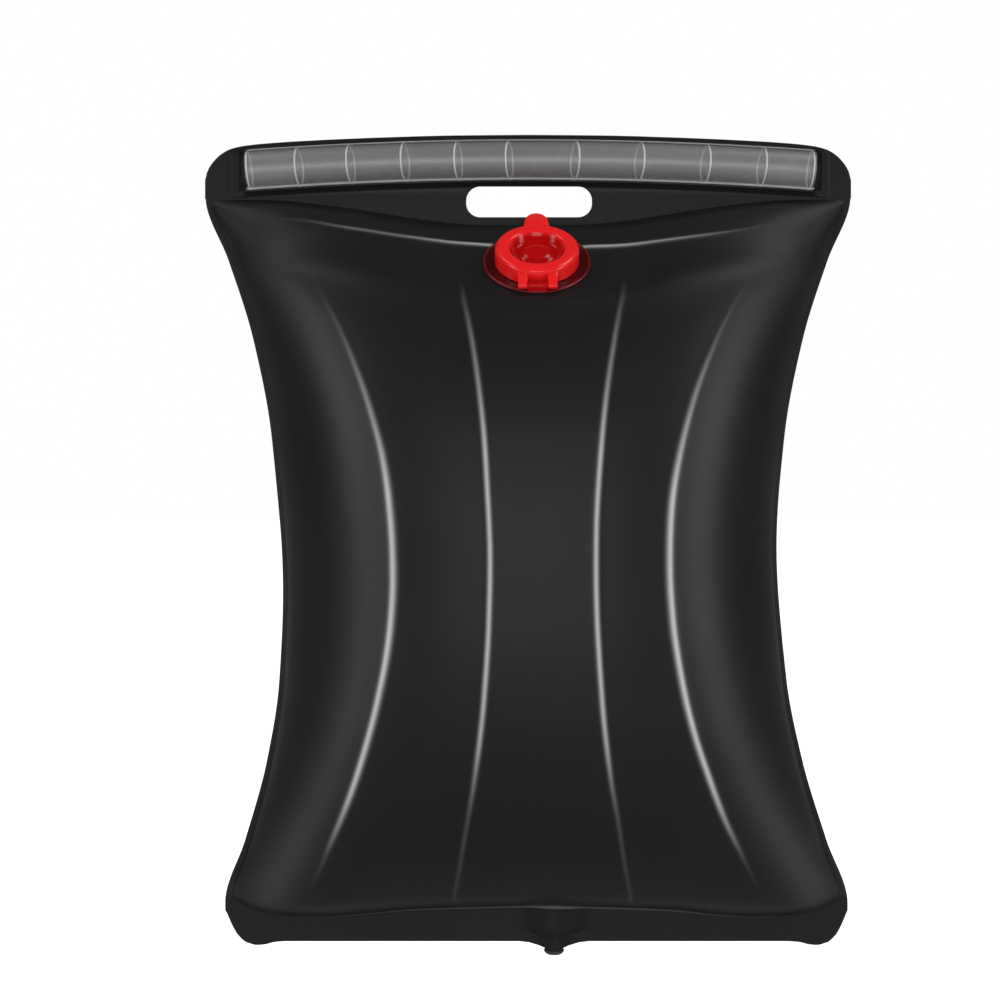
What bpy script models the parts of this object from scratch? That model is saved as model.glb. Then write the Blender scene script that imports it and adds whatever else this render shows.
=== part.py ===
"""Camp shower bag, filled and hanging from its handle.

Metres, Z up, front towards -Y. The origin is at the middle of the hand slot's top edge, where the fingers
carry the sleeve of the handle tube. Each film is a grid of points: its columns run down the bag from the top
edge to the bottom edge, side by side from left to right, and the film's thickness is added inwards.
"""

import math

import bmesh
import bpy
import numpy as np
from mathutils import Matrix, Vector

# Whole bag
BAG_HALF_WIDTH = 0.2195
BAG_DROP = 0.513
LOWER_DRIFT = 0.0054
TOP_HEM_HEIGHT = 0.003
TOP_CORNER_DROP = 0.031
BOTTOM_CORNER_RISE = 0.021
BOTTOM_CORNER_LOBE = 0.0026

# Films. In the welded zones each keeps half of a small gap, so that it stays a solid of its own.
FILM_THICKNESS = 0.0008
FILM_HALF_GAP = 0.00015
SIDE_WELD_WIDTH = 0.004
WEB_HEIGHT = 0.0273
BOTTOM_HEM_HEIGHT = 0.0244
CHAMBER_DEPTH = 0.1

# Side outline: share of the drop below the grip, share of the half width
OUTLINE_SHARES = (
    (0.0, 1.0), (0.018, 0.998), (0.0975, 0.928), (0.203, 0.8505), (0.335, 0.793), (0.503, 0.7654),
    (0.654, 0.7854), (0.76, 0.8287), (0.8655, 0.8998), (0.949, 0.9636), (1.0, 0.961),
)
# How the soft lower half hangs a little to one side: share of the drop, share of the drift
DRIFT_SHARES = ((0.0, 0.0), (0.39, 0.0), (0.6, 0.5), (0.8, 0.9), (1.0, 1.1))
# Top edge: share of the half width from the middle, share of the way up from the corner
TOP_EDGE_SHARES = (
    (0.0, 1.0), (0.228, 0.987), (0.456, 0.942), (0.683, 0.871), (0.82, 0.806), (0.888, 0.748), (0.925, 0.677),
    (0.952, 0.565), (0.975, 0.403), (0.993, 0.194), (1.0, 0.0),
)
# Bottom corners: share of the half width, then share of the corner's rise or of its lobe
BOTTOM_RISE_SHARES = ((0.0, 0.0), (0.8975, 0.0), (0.925, 0.19), (0.943, 0.524), (0.961, 1.0))
BOTTOM_LOBE_SHARES = (
    (0.0, 0.0), (0.774, 0.0), (0.811, 0.19), (0.847, 0.88), (0.87, 1.0), (0.8975, 0.38), (0.925, 0.0),
)
# Chamber's welds: share of the half width, share of the web's or the bottom hem's height at the middle
TOP_WELD_SHARES = (
    (0.0, 1.0), (0.12, 0.98), (0.25, 0.916), (0.4, 0.762), (0.55, 0.571), (0.7, 0.421), (0.8, 0.352),
    (1.0, 0.33),
)
BOTTOM_WELD_SHARES = (
    (0.0, 1.0), (0.4, 0.902), (0.7, 0.697), (0.8, 0.697), (0.9, 0.82), (0.97, 1.066), (1.0, 1.27),
)
# Filled shape at the middle: share of the way down the chamber, share of its depth
DEPTH_SHARES = (
    (0.0, 0.0), (0.0065, 0.1), (0.0156, 0.182), (0.0677, 0.45), (0.12, 0.71), (0.173, 0.84), (0.238, 0.92),
    (0.325, 0.975), (0.433, 1.0), (0.563, 1.0), (0.693, 0.965), (0.8, 0.87), (0.887, 0.695), (0.952, 0.44),
    (0.985, 0.225), (1.0, 0.0),
)
CROSS_FLATNESS = 2.8
CROSS_ROUNDNESS = 2.0
CHAMBER_ROW_SHARES = (
    0.0065, 0.0156, 0.04, 0.0677, 0.095, 0.12, 0.15, 0.19, 0.25, 0.34, 0.45, 0.56, 0.66, 0.75, 0.82, 0.88,
    0.925, 0.958, 0.983,
)
COLUMNS_PER_HALF = 10
COLUMN_SPACE_SHARE = 0.024

# Handle tube, bowed a little upwards, with raised rings
TUBE_MIDDLE_X = 0.0015
TUBE_END_ROOM = 0.027
TUBE_SAG = 0.007
TUBE_RADIUS = 0.0129
TUBE_WALL = 0.0012
RING_HEIGHT = 0.0003
RING_WIDTH = 0.0012
RING_PLACE_SHARES = (-0.993, -0.825, -0.645, -0.4545, -0.2675, -0.087, 0.144, 0.372, 0.605, 0.808, 0.9885)
TUBE_SIDES = 20
TUBE_BORE_STEPS = 6

# Sleeve round the tube: pocket in the back film, see-through window and its opening in the front film
SLEEVE_CLEARANCE = 0.00035
SLEEVE_BELOW_TUBE = 0.0044
WINDOW_THICKNESS = 0.0005
WINDOW_LIP = 0.0024
WINDOW_END = 0.0044
WINDOW_CLEARANCE = 0.0003
OPENING_CLEARANCE = 0.0005
POCKET_TAPER = 0.008
POCKET_HEM = 0.0015
WEB_STEP_HEIGHT = 0.002
POCKET_ROW_ANGLES = (90, 70, 50, 30, 10, -10, -30, -50, -70, -90)
WINDOW_ROW_ANGLES = tuple(range(-84, 85, 14))
# Window's places along the tube: share of the half length, then shares of the end's length, bulge and height
WINDOW_MIDDLE_SHARES = (0.0, 0.22, 0.44, 0.65, 0.84)
WINDOW_END_SHARES = ((0.0, 1.0, 1.0), (0.3, 0.9, 0.99), (0.7, 0.6, 0.95), (1.0, 0.0, 0.9))
WINDOW_FOOT_SHARE = 0.15
LIP_SPARE_SHARE = 0.5

# Hand slot
SLOT_LEFT = -0.042
SLOT_RIGHT = 0.0435
SLOT_HEIGHT = 0.021
SLOT_CORNER_RADIUS = 0.0095
SLOT_CORNER_STEPS = 6

# Filler. Its heights are along its axis, from the film, and its reaches are down the film from that axis.
FILLER_X = 0.005
FILLER_BELOW_WELD = 0.0313
FILLER_TILT_DEG = 48.0
FLAT_ROUND_FLANGE = 0.005
FLAT_BLEND_WIDTH = 0.022
FLAT_WIDTH_SHARE = 0.7
FLAT_LOWEST_SHARE = 0.5
FLANGE_BEYOND_HINGE = 0.003
FLANGE_THICKNESS = 0.0012
FLANGE_LIFT = 0.0004
RIM_BEAD_HEIGHT = 0.00035
RIM_BEAD_WIDTH = 0.0015
NECK_RADIUS = 0.0222
NECK_WALL = 0.0018
NECK_HEIGHT = 0.0105
NECK_FILLET = 0.001
NECK_BEAD = 0.0004
NECK_BEAD_DROP = 0.0018
FILM_HOLE_SPARE = 0.0008
EDGE_ROUND = 0.0004
ROUND_STEPS = 36

# Cap
CAP_SKIRT_GAP = 0.0016
CAP_SKIRT_WALL = 0.0015
CAP_SKIRT_LIFT = 0.0004
CAP_PLATE_THICKNESS = 0.0018
CAP_PLATE_CLEARANCE = 0.0003
CAP_EDGE_ROUND = 0.0013
SNAP_RING_CLEARANCE = 0.001
SNAP_RING_WALL = 0.0013
SNAP_RING_DEPTH = 0.006
PLUG_CLEARANCE = 0.0005
PLUG_WALL = 0.0023
PLUG_FOOT_INSET = 0.0021
WELL_DEPTH = 0.0058
WELL_FLOOR_THICKNESS = 0.0016
WELL_TAPER = 0.0018
BUTTON_RADIUS = 0.0105
BUTTON_HEIGHT = 0.0034
BUTTON_ROUND = 0.0012
# Plug's outside: share of its depth, share of the way in to its foot
PLUG_TAPER_SHARES = ((0.0, 0.0), (0.3, 0.16), (0.57, 0.36), (0.87, 0.66), (1.0, 1.0))
TAB_WIDTH = 0.0158
TAB_BEYOND_CAP = 0.0129
TAB_ROOT = 0.0026
TAB_THICKNESS = 0.0019
TAB_STEP = 0.0003
TAB_CORNER_SHARE = 0.62
TAB_CORNER_STEPS = 5

# Hinge of the cap, on the lower side of the filler
HINGE_BEYOND_CAP = 0.0044
PIN_RADIUS = 0.0012
PIN_CLEARANCE = 0.0003
PIN_STEPS = 16
EAR_WALL = 0.0009
EAR_LIFT = 0.00035
EAR_WIDTH = 0.0045
EAR_SIDE_CLEARANCE = 0.00035
EAR_ROOT_DEPTH = 0.0025
EAR_ROOT_HEIGHT = 0.0071
LUG_WIDTH = 0.0125
LUG_RADIUS = 0.0021
LUG_ROOT_WIDTH = 0.0052
PIN_END_GAP = 0.0004
KNUCKLE_STEPS = 12

# Outlet in the bottom hem: a spout on a lens-shaped base that the films are welded to
OUTLET_X = 0.0177
SPOUT_BORE_RADIUS = 0.004
SPOUT_WALL = 0.002
SPOUT_INSIDE = 0.0051
SPOUT_BELOW_LOBE = 0.0006
BOAT_HALF_LENGTH = 0.014
BOAT_BESIDE_SPOUT = 0.0002
BOAT_HEIGHT = 0.012
BOAT_BELOW_WELD = 0.0009
BOAT_OUTLINE_SHARES = (1.0, 0.8, 0.55, 0.37, 0.2, 0.0)
LENS_POWER = 0.8
OUTLET_FILM_CLEARANCE = 0.0005
OUTLET_FILM_REACH = 0.0035
LOBE_DROP = 0.0046
LOBE_HALF_WIDTH = 0.022
OUTLET_COLUMN_SHARES = (-1.3, -0.76, -0.44, -0.21, 0.0, 0.21, 0.44, 0.76, 1.3)
HEM_BOAT_SHARES = (0.0, 0.5)
HEM_SPOUT_SHARES = (0.76, 1.0)
SPOUT_SIDES = 24

# Stopper in the spout
STOPPER_CLEARANCE = 0.00015
STOPPER_SHAFT_LENGTH = 0.0125
STOPPER_HEAD_BEYOND_SPOUT = 0.0008
STOPPER_HEAD_HEIGHT = 0.003
STOPPER_HEAD_GAP = 0.0003
STOPPER_TIP_ROUND = 0.0006
STOPPER_WAIST = 0.0012

CUT_OVERRUN = 0.005
MERGE_DISTANCE = 0.000001

# Colours of the materials: (red, green, blue, alpha), roughness
MATERIALS = {
    "black_film": ((0.016, 0.016, 0.018, 1.0), 0.45),
    "clear_strip": ((0.45, 0.45, 0.47, 0.35), 0.2),
    "smoke_tube": ((0.30, 0.30, 0.31, 0.55), 0.3),
    "red_plastic": ((0.72, 0.012, 0.010, 1.0), 0.25),
    "dark_plastic": ((0.030, 0.030, 0.032, 1.0), 0.4),
    "grey_rubber": ((0.12, 0.11, 0.10, 1.0), 0.7),
}

# Sizes that follow from those above
FILM_OUTSIDE = FILM_HALF_GAP + FILM_THICKNESS
RING_RADIUS = TUBE_RADIUS + RING_HEIGHT
SLEEVE_INSIDE = RING_RADIUS + SLEEVE_CLEARANCE
SLEEVE_STEP = WINDOW_THICKNESS + WINDOW_CLEARANCE
TUBE_HALF_LENGTH = BAG_HALF_WIDTH - TUBE_END_ROOM
TUBE_MIDDLE_Z = RING_RADIUS + SLEEVE_BELOW_TUBE
SLEEVE_END = TUBE_HALF_LENGTH + OPENING_CLEARANCE
BAG_TOP = TUBE_MIDDLE_Z + SLEEVE_INSIDE + FILM_THICKNESS + TOP_HEM_HEIGHT
SNAP_RING_INSIDE = NECK_RADIUS + SNAP_RING_CLEARANCE
SNAP_RING_OUTSIDE = SNAP_RING_INSIDE + SNAP_RING_WALL
CAP_RADIUS = SNAP_RING_OUTSIDE + CAP_SKIRT_GAP + CAP_SKIRT_WALL
HINGE_REACH = CAP_RADIUS + HINGE_BEYOND_CAP
FLANGE_RADIUS = HINGE_REACH + FLANGE_BEYOND_HINGE
FLAT_RADIUS = FLANGE_RADIUS + FLAT_ROUND_FLANGE
FLANGE_TOP = FLANGE_LIFT + FLANGE_THICKNESS
NECK_BORE = NECK_RADIUS - NECK_WALL
PLUG_RADIUS = NECK_BORE - PLUG_CLEARANCE
WELL_RADIUS = PLUG_RADIUS - PLUG_WALL
NECK_TOP = FLANGE_LIFT + NECK_HEIGHT
PLATE_UNDERSIDE = NECK_TOP + CAP_PLATE_CLEARANCE
CAP_TOP = PLATE_UNDERSIDE + CAP_PLATE_THICKNESS
CAP_SKIRT_BOTTOM = FLANGE_TOP + CAP_SKIRT_LIFT
WELL_FLOOR = CAP_TOP - WELL_DEPTH
WELL_UNDERSIDE = WELL_FLOOR - WELL_FLOOR_THICKNESS
EAR_RADIUS = PIN_RADIUS + PIN_CLEARANCE + EAR_WALL
HINGE_HEIGHT = FLANGE_TOP + RIM_BEAD_HEIGHT + EAR_LIFT + EAR_RADIUS
EAR_INNER_X = LUG_WIDTH / 2 + EAR_SIDE_CLEARANCE
EAR_OUTER_X = EAR_INNER_X + EAR_WIDTH
SPOUT_RADIUS = SPOUT_BORE_RADIUS + SPOUT_WALL
SPOUT_END_Z = -BAG_DROP - LOBE_DROP - SPOUT_BELOW_LOBE
BOTTOM_WELD_Z = BOTTOM_HEM_HEIGHT - BAG_DROP
SPOUT_TOP_Z = BOTTOM_WELD_Z + SPOUT_INSIDE
BOAT_HALF_THICKNESS = SPOUT_RADIUS + BOAT_BESIDE_SPOUT
BOAT_TOP_Z = BOTTOM_WELD_Z - BOAT_BELOW_WELD
BOAT_BOTTOM_Z = BOAT_TOP_Z - BOAT_HEIGHT
STOPPER_HEAD_RADIUS = SPOUT_RADIUS + STOPPER_HEAD_BEYOND_SPOUT


def clear_scene():
    for old in list(bpy.data.objects):
        bpy.data.objects.remove(old, do_unlink=True)


def material(name):
    """The named material, made once."""
    found = bpy.data.materials.get(name)
    if found:
        return found
    colour, roughness = MATERIALS[name]
    made = bpy.data.materials.new(name)
    made.use_nodes = True
    shader = made.node_tree.nodes["Principled BSDF"]
    shader.inputs["Base Color"].default_value = colour
    shader.inputs["Alpha"].default_value = colour[3]
    shader.inputs["Roughness"].default_value = roughness
    return made


def new_object(name, points, faces, material_name=None):
    """A mesh object whose faces all point outwards."""
    mesh = bpy.data.meshes.new(name)
    mesh.from_pydata([tuple(point) for point in points], [], faces)
    shape = bmesh.new()
    shape.from_mesh(mesh)
    bmesh.ops.remove_doubles(shape, verts=shape.verts, dist=MERGE_DISTANCE)
    bmesh.ops.recalc_face_normals(shape, faces=shape.faces)
    if shape.calc_volume(signed=True) < 0:
        bmesh.ops.reverse_faces(shape, faces=shape.faces)
    shape.to_mesh(mesh)
    shape.free()
    made = bpy.data.objects.new(name, mesh)
    bpy.context.scene.collection.objects.link(made)
    if material_name:
        mesh.materials.append(material(material_name))
    return made


def boolean(target, name, shape, operation):
    """A Boolean with a helper object, which is never drawn."""
    helper = new_object(name, *shape)
    helper.hide_render = True
    helper.display_type = "WIRE"
    step = target.modifiers.new(name, "BOOLEAN")
    step.operation = operation
    step.object = helper
    step.solver = "EXACT"


def smooth_shares(table, place):
    """A smooth curve through a table's points that never swings past them (monotone cubic)."""
    x = np.array([row[0] for row in table], float)
    y = np.array([row[1] for row in table], float)
    steps = np.diff(x)
    slopes = np.diff(y) / steps
    tangents = np.zeros(len(x))
    for i in range(1, len(x) - 1):
        if slopes[i - 1] * slopes[i] > 0:
            before, after = 2 * steps[i] + steps[i - 1], steps[i] + 2 * steps[i - 1]
            tangents[i] = (before + after) / (before / slopes[i - 1] + after / slopes[i])
    tangents[0] = (3 * slopes[0] - tangents[1]) / 2
    tangents[-1] = (3 * slopes[-1] - tangents[-2]) / 2
    place = min(max(place, x[0]), x[-1])
    i = int(min(np.searchsorted(x, place, side="right") - 1, len(x) - 2))
    t = (place - x[i]) / steps[i]
    low = (1 + 2 * t) * (1 - t) ** 2 * y[i] + t * (1 - t) ** 2 * steps[i] * tangents[i]
    high = t * t * (3 - 2 * t) * y[i + 1] + t * t * (t - 1) * steps[i] * tangents[i + 1]
    return float(low + high)


def smooth_step(share):
    share = min(max(share, 0.0), 1.0)
    return share * share * (3 - 2 * share)


def arc(centre_x, centre_y, radius, start_deg, end_deg, steps):
    """Points (x, y) along an arc, both ends included."""
    turns = [math.radians(start_deg + (end_deg - start_deg) * k / steps) for k in range(steps + 1)]
    return [(centre_x + radius * math.cos(turn), centre_y + radius * math.sin(turn)) for turn in turns]


def prism(outline, low, high):
    """Points and faces of an outline of 3D points, pushed from one offset to another."""
    count = len(outline)
    points = [point + low for point in outline] + [point + high for point in outline]
    faces = [list(range(count))[::-1], list(range(count, 2 * count))]
    for i in range(count):
        following = (i + 1) % count
        faces.append([i, following, count + following, count + i])
    return points, faces


def turned(profile, steps):
    """Points and faces of a closed profile of (radius, height), turned once round the height axis."""
    points, rings = [], []
    for radius, height in profile:
        sides = steps if radius > 0 else 1
        rings.append([len(points) + k % sides for k in range(steps)])
        for k in range(sides):
            turn = 2 * math.pi * k / steps
            points.append(Vector((radius * math.cos(turn), radius * math.sin(turn), height)))
    faces = []
    for a, b in zip(rings, rings[1:] + rings[:1]):
        for k in range(steps):
            following = (k + 1) % steps
            corners = list(dict.fromkeys((a[k], a[following], b[following], b[k])))
            if len(corners) > 2:
                faces.append(corners)
    return points, faces


def half_width(z):
    return smooth_shares(OUTLINE_SHARES, -z / BAG_DROP) * BAG_HALF_WIDTH


def middle_x(z):
    return smooth_shares(DRIFT_SHARES, -z / BAG_DROP) * LOWER_DRIFT


def tube_height(x):
    """Height of the tube's centre line."""
    share = (x - TUBE_MIDDLE_X) / TUBE_HALF_LENGTH
    return TUBE_MIDDLE_Z - TUBE_SAG * share * share


def top_edge_height(x):
    return BAG_TOP - TOP_CORNER_DROP * (1 - smooth_shares(TOP_EDGE_SHARES, abs(x) / BAG_HALF_WIDTH))


def bottom_edge_height(x):
    from_middle = abs(x - middle_x(-BAG_DROP)) / BAG_HALF_WIDTH
    rise = BOTTOM_CORNER_RISE * smooth_shares(BOTTOM_RISE_SHARES, from_middle)
    corner_lobe = BOTTOM_CORNER_LOBE * smooth_shares(BOTTOM_LOBE_SHARES, from_middle)
    outlet_lobe = LOBE_DROP * max(0.0, 1 - ((x - OUTLET_X) / LOBE_HALF_WIDTH) ** 2) ** 2
    return rise - BAG_DROP - corner_lobe - outlet_lobe


def lens(x, half_length, half_thickness):
    """Half thickness of a lens shape at this distance from its middle."""
    return half_thickness * max(0.0, 1 - (x / half_length) ** 2) ** LENS_POWER


# Columns of the films. Each is (share of the half width, side), where side is -1 or 1 on the two outer edges.


def film_columns():
    bottom_half_width = half_width(BOAT_TOP_Z) - SIDE_WELD_WIDTH
    outlet_reach = BOAT_HALF_LENGTH + OUTLET_FILM_REACH
    outlet_middle = OUTLET_X - middle_x(BOAT_TOP_Z)
    outlet = [(outlet_middle + outlet_reach * share) / bottom_half_width for share in OUTLET_COLUMN_SHARES]
    top_half_width = half_width(0) - SIDE_WELD_WIDTH
    pocket_ends = [
        (TUBE_MIDDLE_X + side * (SLEEVE_END + beyond)) / top_half_width
        for side in (-1, 1)
        for beyond in (0, POCKET_TAPER)
    ]
    columns = outlet + pocket_ends
    for i in range(-COLUMNS_PER_HALF, COLUMNS_PER_HALF + 1):
        share = math.sin(math.pi / 2 * i / COLUMNS_PER_HALF)
        if min(abs(share - other) for other in pocket_ends) < COLUMN_SPACE_SHARE:
            continue
        if outlet[0] - COLUMN_SPACE_SHARE < share < outlet[-1] + COLUMN_SPACE_SHARE:
            continue
        columns.append(share)
    return [(-1.0, -1)] + [(share, 0) for share in sorted(columns)] + [(1.0, 1)]


def column_x(column, z):
    share, side = column
    if side:
        return middle_x(z) + side * half_width(z)
    return middle_x(z) + share * (half_width(z) - SIDE_WELD_WIDTH)


def pocket_limits(x):
    """Top and bottom of the sleeve's pocket at this place, kept inside the bag's rounded corners."""
    outside = SLEEVE_INSIDE + FILM_THICKNESS
    top = min(tube_height(x) + outside, top_edge_height(x) - POCKET_HEM)
    bottom = min(tube_height(x) - outside, top - 2 * POCKET_HEM)
    return top, bottom


def pocket_fullness(x):
    """1 where the pocket holds the tube, and 0 beyond its ends."""
    return 1 - smooth_step((abs(x - TUBE_MIDDLE_X) - SLEEVE_END) / POCKET_TAPER)


def web_top(x):
    """Lower seam of the sleeve, under the window's lip."""
    lip = SLEEVE_INSIDE + WINDOW_THICKNESS + WINDOW_LIP
    return min(tube_height(x) - lip, pocket_limits(x)[1]) - WINDOW_CLEARANCE


def top_weld_height(column):
    highest = web_top(column_x(column, 0)) - WEB_STEP_HEIGHT - FILM_HALF_GAP
    return min(-WEB_HEIGHT * smooth_shares(TOP_WELD_SHARES, abs(column[0])), highest)


def bottom_weld_height(column):
    return BOTTOM_HEM_HEIGHT * smooth_shares(BOTTOM_WELD_SHARES, abs(column[0])) - BAG_DROP


def chamber_depth(share_down, side_share):
    """How far the filled chamber stands out from its welds."""
    cross = max(0.0, 1 - abs(side_share) ** CROSS_FLATNESS) ** (1 / CROSS_ROUNDNESS)
    return smooth_shares(DEPTH_SHARES, share_down) * CHAMBER_DEPTH * cross


def filler_axes():
    """Centre of the filler on the film, and its directions: across, down the film, and out of it."""
    top, bottom = top_weld_height((0.0, 0)), bottom_weld_height((0.0, 0))
    z = top - FILLER_BELOW_WELD
    depth = FILM_OUTSIDE + chamber_depth((top - z) / (top - bottom), 0.0)
    tilt = math.radians(FILLER_TILT_DEG)
    down = Vector((0, -math.sin(tilt), -math.cos(tilt)))
    out = Vector((0, -math.cos(tilt), math.sin(tilt)))
    return Vector((FILLER_X, -depth, z)), Vector((1, 0, 0)), down, out


def flatten_at_filler(x, y, z):
    """Pulls the front film onto the filler's plane near it, so that the flange lies flat."""
    centre, across, down, _ = filler_axes()
    plane_y = centre.y + (z - centre.z) * math.tan(math.radians(FILLER_TILT_DEG))
    offset = Vector((x, plane_y, z)) - centre
    away = math.hypot(offset.dot(across) * FLAT_WIDTH_SHARE, offset.dot(down))
    flat = 1 - smooth_step((away - FLAT_RADIUS) / FLAT_BLEND_WIDTH)
    return y + (plane_y - y) * flat


def film_column(column, front):
    """Outer points of one column, from the top edge down to the bottom edge."""
    top_x = column_x(column, 0)
    flat = FILM_OUTSIDE + (SLEEVE_STEP if front else 0.0)
    points = [(top_x, flat, top_edge_height(top_x))]
    top, bottom = pocket_limits(top_x)
    bulge = 0.0 if front else (SLEEVE_INSIDE - FILM_HALF_GAP) * pocket_fullness(top_x)
    for angle in (90, 0, -90) if front else POCKET_ROW_ANGLES:
        turn = math.radians(angle)
        height = (top + bottom) / 2 + (top - bottom) / 2 * math.sin(turn)
        points.append((top_x, flat + bulge * math.cos(turn), height))
    seam = web_top(top_x)
    points.append((top_x, flat, seam))
    weld = top_weld_height(column)
    step_end = max(seam - WEB_STEP_HEIGHT, weld + FILM_HALF_GAP)
    for z in (step_end, weld):
        points.append((column_x(column, z), FILM_OUTSIDE, z))
    low_weld = bottom_weld_height(column)
    for share in CHAMBER_ROW_SHARES:
        z = weld + (low_weld - weld) * share
        x = column_x(column, z)
        depth = FILM_OUTSIDE + (0.0 if column[1] else chamber_depth(share, column[0]))
        if front and share < FLAT_LOWEST_SHARE:
            depth = -flatten_at_filler(x, -depth, z)
        points.append((x, depth, z))
    bottom_x = column_x(column, BOAT_BOTTOM_Z)
    edge = bottom_edge_height(bottom_x)
    for share in HEM_BOAT_SHARES + HEM_SPOUT_SHARES:
        z = low_weld + (edge - low_weld) * share
        x = column_x(column, z)
        length, thickness = (SPOUT_RADIUS, SPOUT_RADIUS)
        if share in HEM_BOAT_SHARES:
            length, thickness = BOAT_HALF_LENGTH, BOAT_HALF_THICKNESS
        swell = lens(x - OUTLET_X, length + OUTLET_FILM_REACH, thickness + OUTLET_FILM_CLEARANCE)
        points.append((x, FILM_OUTSIDE + swell, z))
    side = -1 if front else 1
    return [(x, side * y, z) for x, y, z in points]


def grid_normals(grid):
    """Unit normals of a grid of points, from the directions to their neighbours."""

    def directions(axis):
        gaps = np.diff(grid, axis=axis)
        gaps = gaps / np.maximum(np.linalg.norm(gaps, axis=2, keepdims=True), MERGE_DISTANCE)
        first, last = np.take(gaps, [0], axis=axis), np.take(gaps, [-1], axis=axis)
        return np.concatenate([first, gaps], axis=axis) + np.concatenate([gaps, last], axis=axis)

    normals = np.cross(directions(0), directions(1))
    return normals / np.linalg.norm(normals, axis=2, keepdims=True)


def sheet_solid(name, grid, thickness, inward, material_name):
    """A closed sheet: a grid of outer points, the same grid moved inwards, and the rim between the two."""
    outer = np.array(grid)
    normals = grid_normals(outer)
    facing = np.sign((normals * np.array(inward)).sum(axis=2).mean())
    inner = outer + normals * facing * thickness
    columns, rows = outer.shape[:2]
    index = np.arange(2 * columns * rows).reshape(2, columns, rows)
    faces = []
    for side in index:
        for i in range(columns - 1):
            for j in range(rows - 1):
                faces.append([side[i, j], side[i + 1, j], side[i + 1, j + 1], side[i, j + 1]])
    rim = [(i, 0) for i in range(columns)] + [(columns - 1, j) for j in range(1, rows)]
    rim += [(i, rows - 1) for i in range(columns - 2, -1, -1)] + [(0, j) for j in range(rows - 2, 0, -1)]
    for place, following in zip(rim, rim[1:] + rim[:1]):
        faces.append([index[0][place], index[0][following], index[1][following], index[1][place]])
    points = np.concatenate([outer.reshape(-1, 3), inner.reshape(-1, 3)])
    return new_object(name, points, [[int(corner) for corner in face] for face in faces], material_name)


def slot_outline():
    """Outline of the hand slot in the weld plane, with its top edge at the origin's height."""
    radius, steps = SLOT_CORNER_RADIUS, SLOT_CORNER_STEPS
    right, left, low = SLOT_RIGHT - radius, SLOT_LEFT + radius, radius - SLOT_HEIGHT
    outline = arc(right, -radius, radius, 0, 90, steps) + arc(left, -radius, radius, 90, 180, steps)
    outline += arc(left, low, radius, 180, 270, steps) + arc(right, low, radius, 270, 360, steps)
    return [Vector((x, 0, z)) for x, z in outline]


def build_films():
    depth = Vector((0, CUT_OVERRUN, 0))
    for name, front in (("front_panel", True), ("back_panel", False)):
        grid = [film_column(column, front) for column in film_columns()]
        film = sheet_solid(name, grid, FILM_THICKNESS, (0, 1 if front else -1, 0), "black_film")
        boolean(film, f"{name}_slot", prism(slot_outline(), -depth, depth), "DIFFERENCE")
        if front:
            opening = prism(window_opening(), -depth, Vector((0, 0, 0)))
            boolean(film, "window_cut", opening, "DIFFERENCE")
            circle = arc(0, 0, NECK_BORE + FILM_HOLE_SPARE, 0, 360, ROUND_STEPS)[:-1]
            hole = [Vector((x, y, 0)) for x, y in circle]
            outwards = Vector((0, 0, CUT_OVERRUN))
            boolean(film, "filler_hole_cut", on_filler(prism(hole, -outwards, outwards)), "DIFFERENCE")


def window_stations():
    """Along the window: distance from the tube's middle, share of the bulge, share of the height."""
    half = [(SLEEVE_END * share, 1.0, 1.0) for share in WINDOW_MIDDLE_SHARES]
    half += [(SLEEVE_END + WINDOW_END * along, bulge, height) for along, bulge, height in WINDOW_END_SHARES]
    return [(-along, bulge, height) for along, bulge, height in half[:0:-1]] + half


def window_opening():
    """Outline of the front film's opening, where the window bulges out."""
    radius = SLEEVE_INSIDE + WINDOW_THICKNESS + OPENING_CLEARANCE
    stretch = 1 + OPENING_CLEARANCE / (SLEEVE_END + WINDOW_END)
    upper, lower = [], []
    for along, _, height in window_stations():
        x = TUBE_MIDDLE_X + along * stretch
        upper.append(Vector((x, 0, tube_height(x) + radius * height)))
        lower.append(Vector((x, 0, tube_height(x) - radius * height)))
    return upper + lower[::-1]


def build_window():
    """See-through strip: a half round over the tube, with a lip all round behind the front film."""
    radius = SLEEVE_INSIDE + WINDOW_THICKNESS
    lip_y = FILM_HALF_GAP + WINDOW_THICKNESS
    stations = window_stations()
    first, last = stations[0], stations[-1]
    stations = [(first[0] - WINDOW_LIP, *first[1:])] + stations + [(last[0] + WINDOW_LIP, *last[1:])]
    foot = WINDOW_LIP * WINDOW_FOOT_SHARE
    grid = []
    for along, bulge, height in stations:
        x = TUBE_MIDDLE_X + along
        room = top_edge_height(x) - tube_height(x) - POCKET_HEM * LIP_SPARE_SHARE
        row = [(lip_y, -radius * height - WINDOW_LIP), (lip_y, -radius * height - foot)]
        for angle in WINDOW_ROW_ANGLES:
            turn = math.radians(angle)
            out = lip_y + max(0.0, radius * math.cos(turn) - lip_y) * bulge
            row.append((out, min(radius * math.sin(turn) * height, room - WINDOW_LIP * LIP_SPARE_SHARE)))
        row.append((lip_y, min(radius * height + foot, room - foot)))
        row.append((lip_y, min(radius * height + WINDOW_LIP, room)))
        grid.append([(x, -out, tube_height(x) + up) for out, up in row])
    return sheet_solid("sleeve_window", grid, WINDOW_THICKNESS, (0, 1, 0), "clear_strip")


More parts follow.
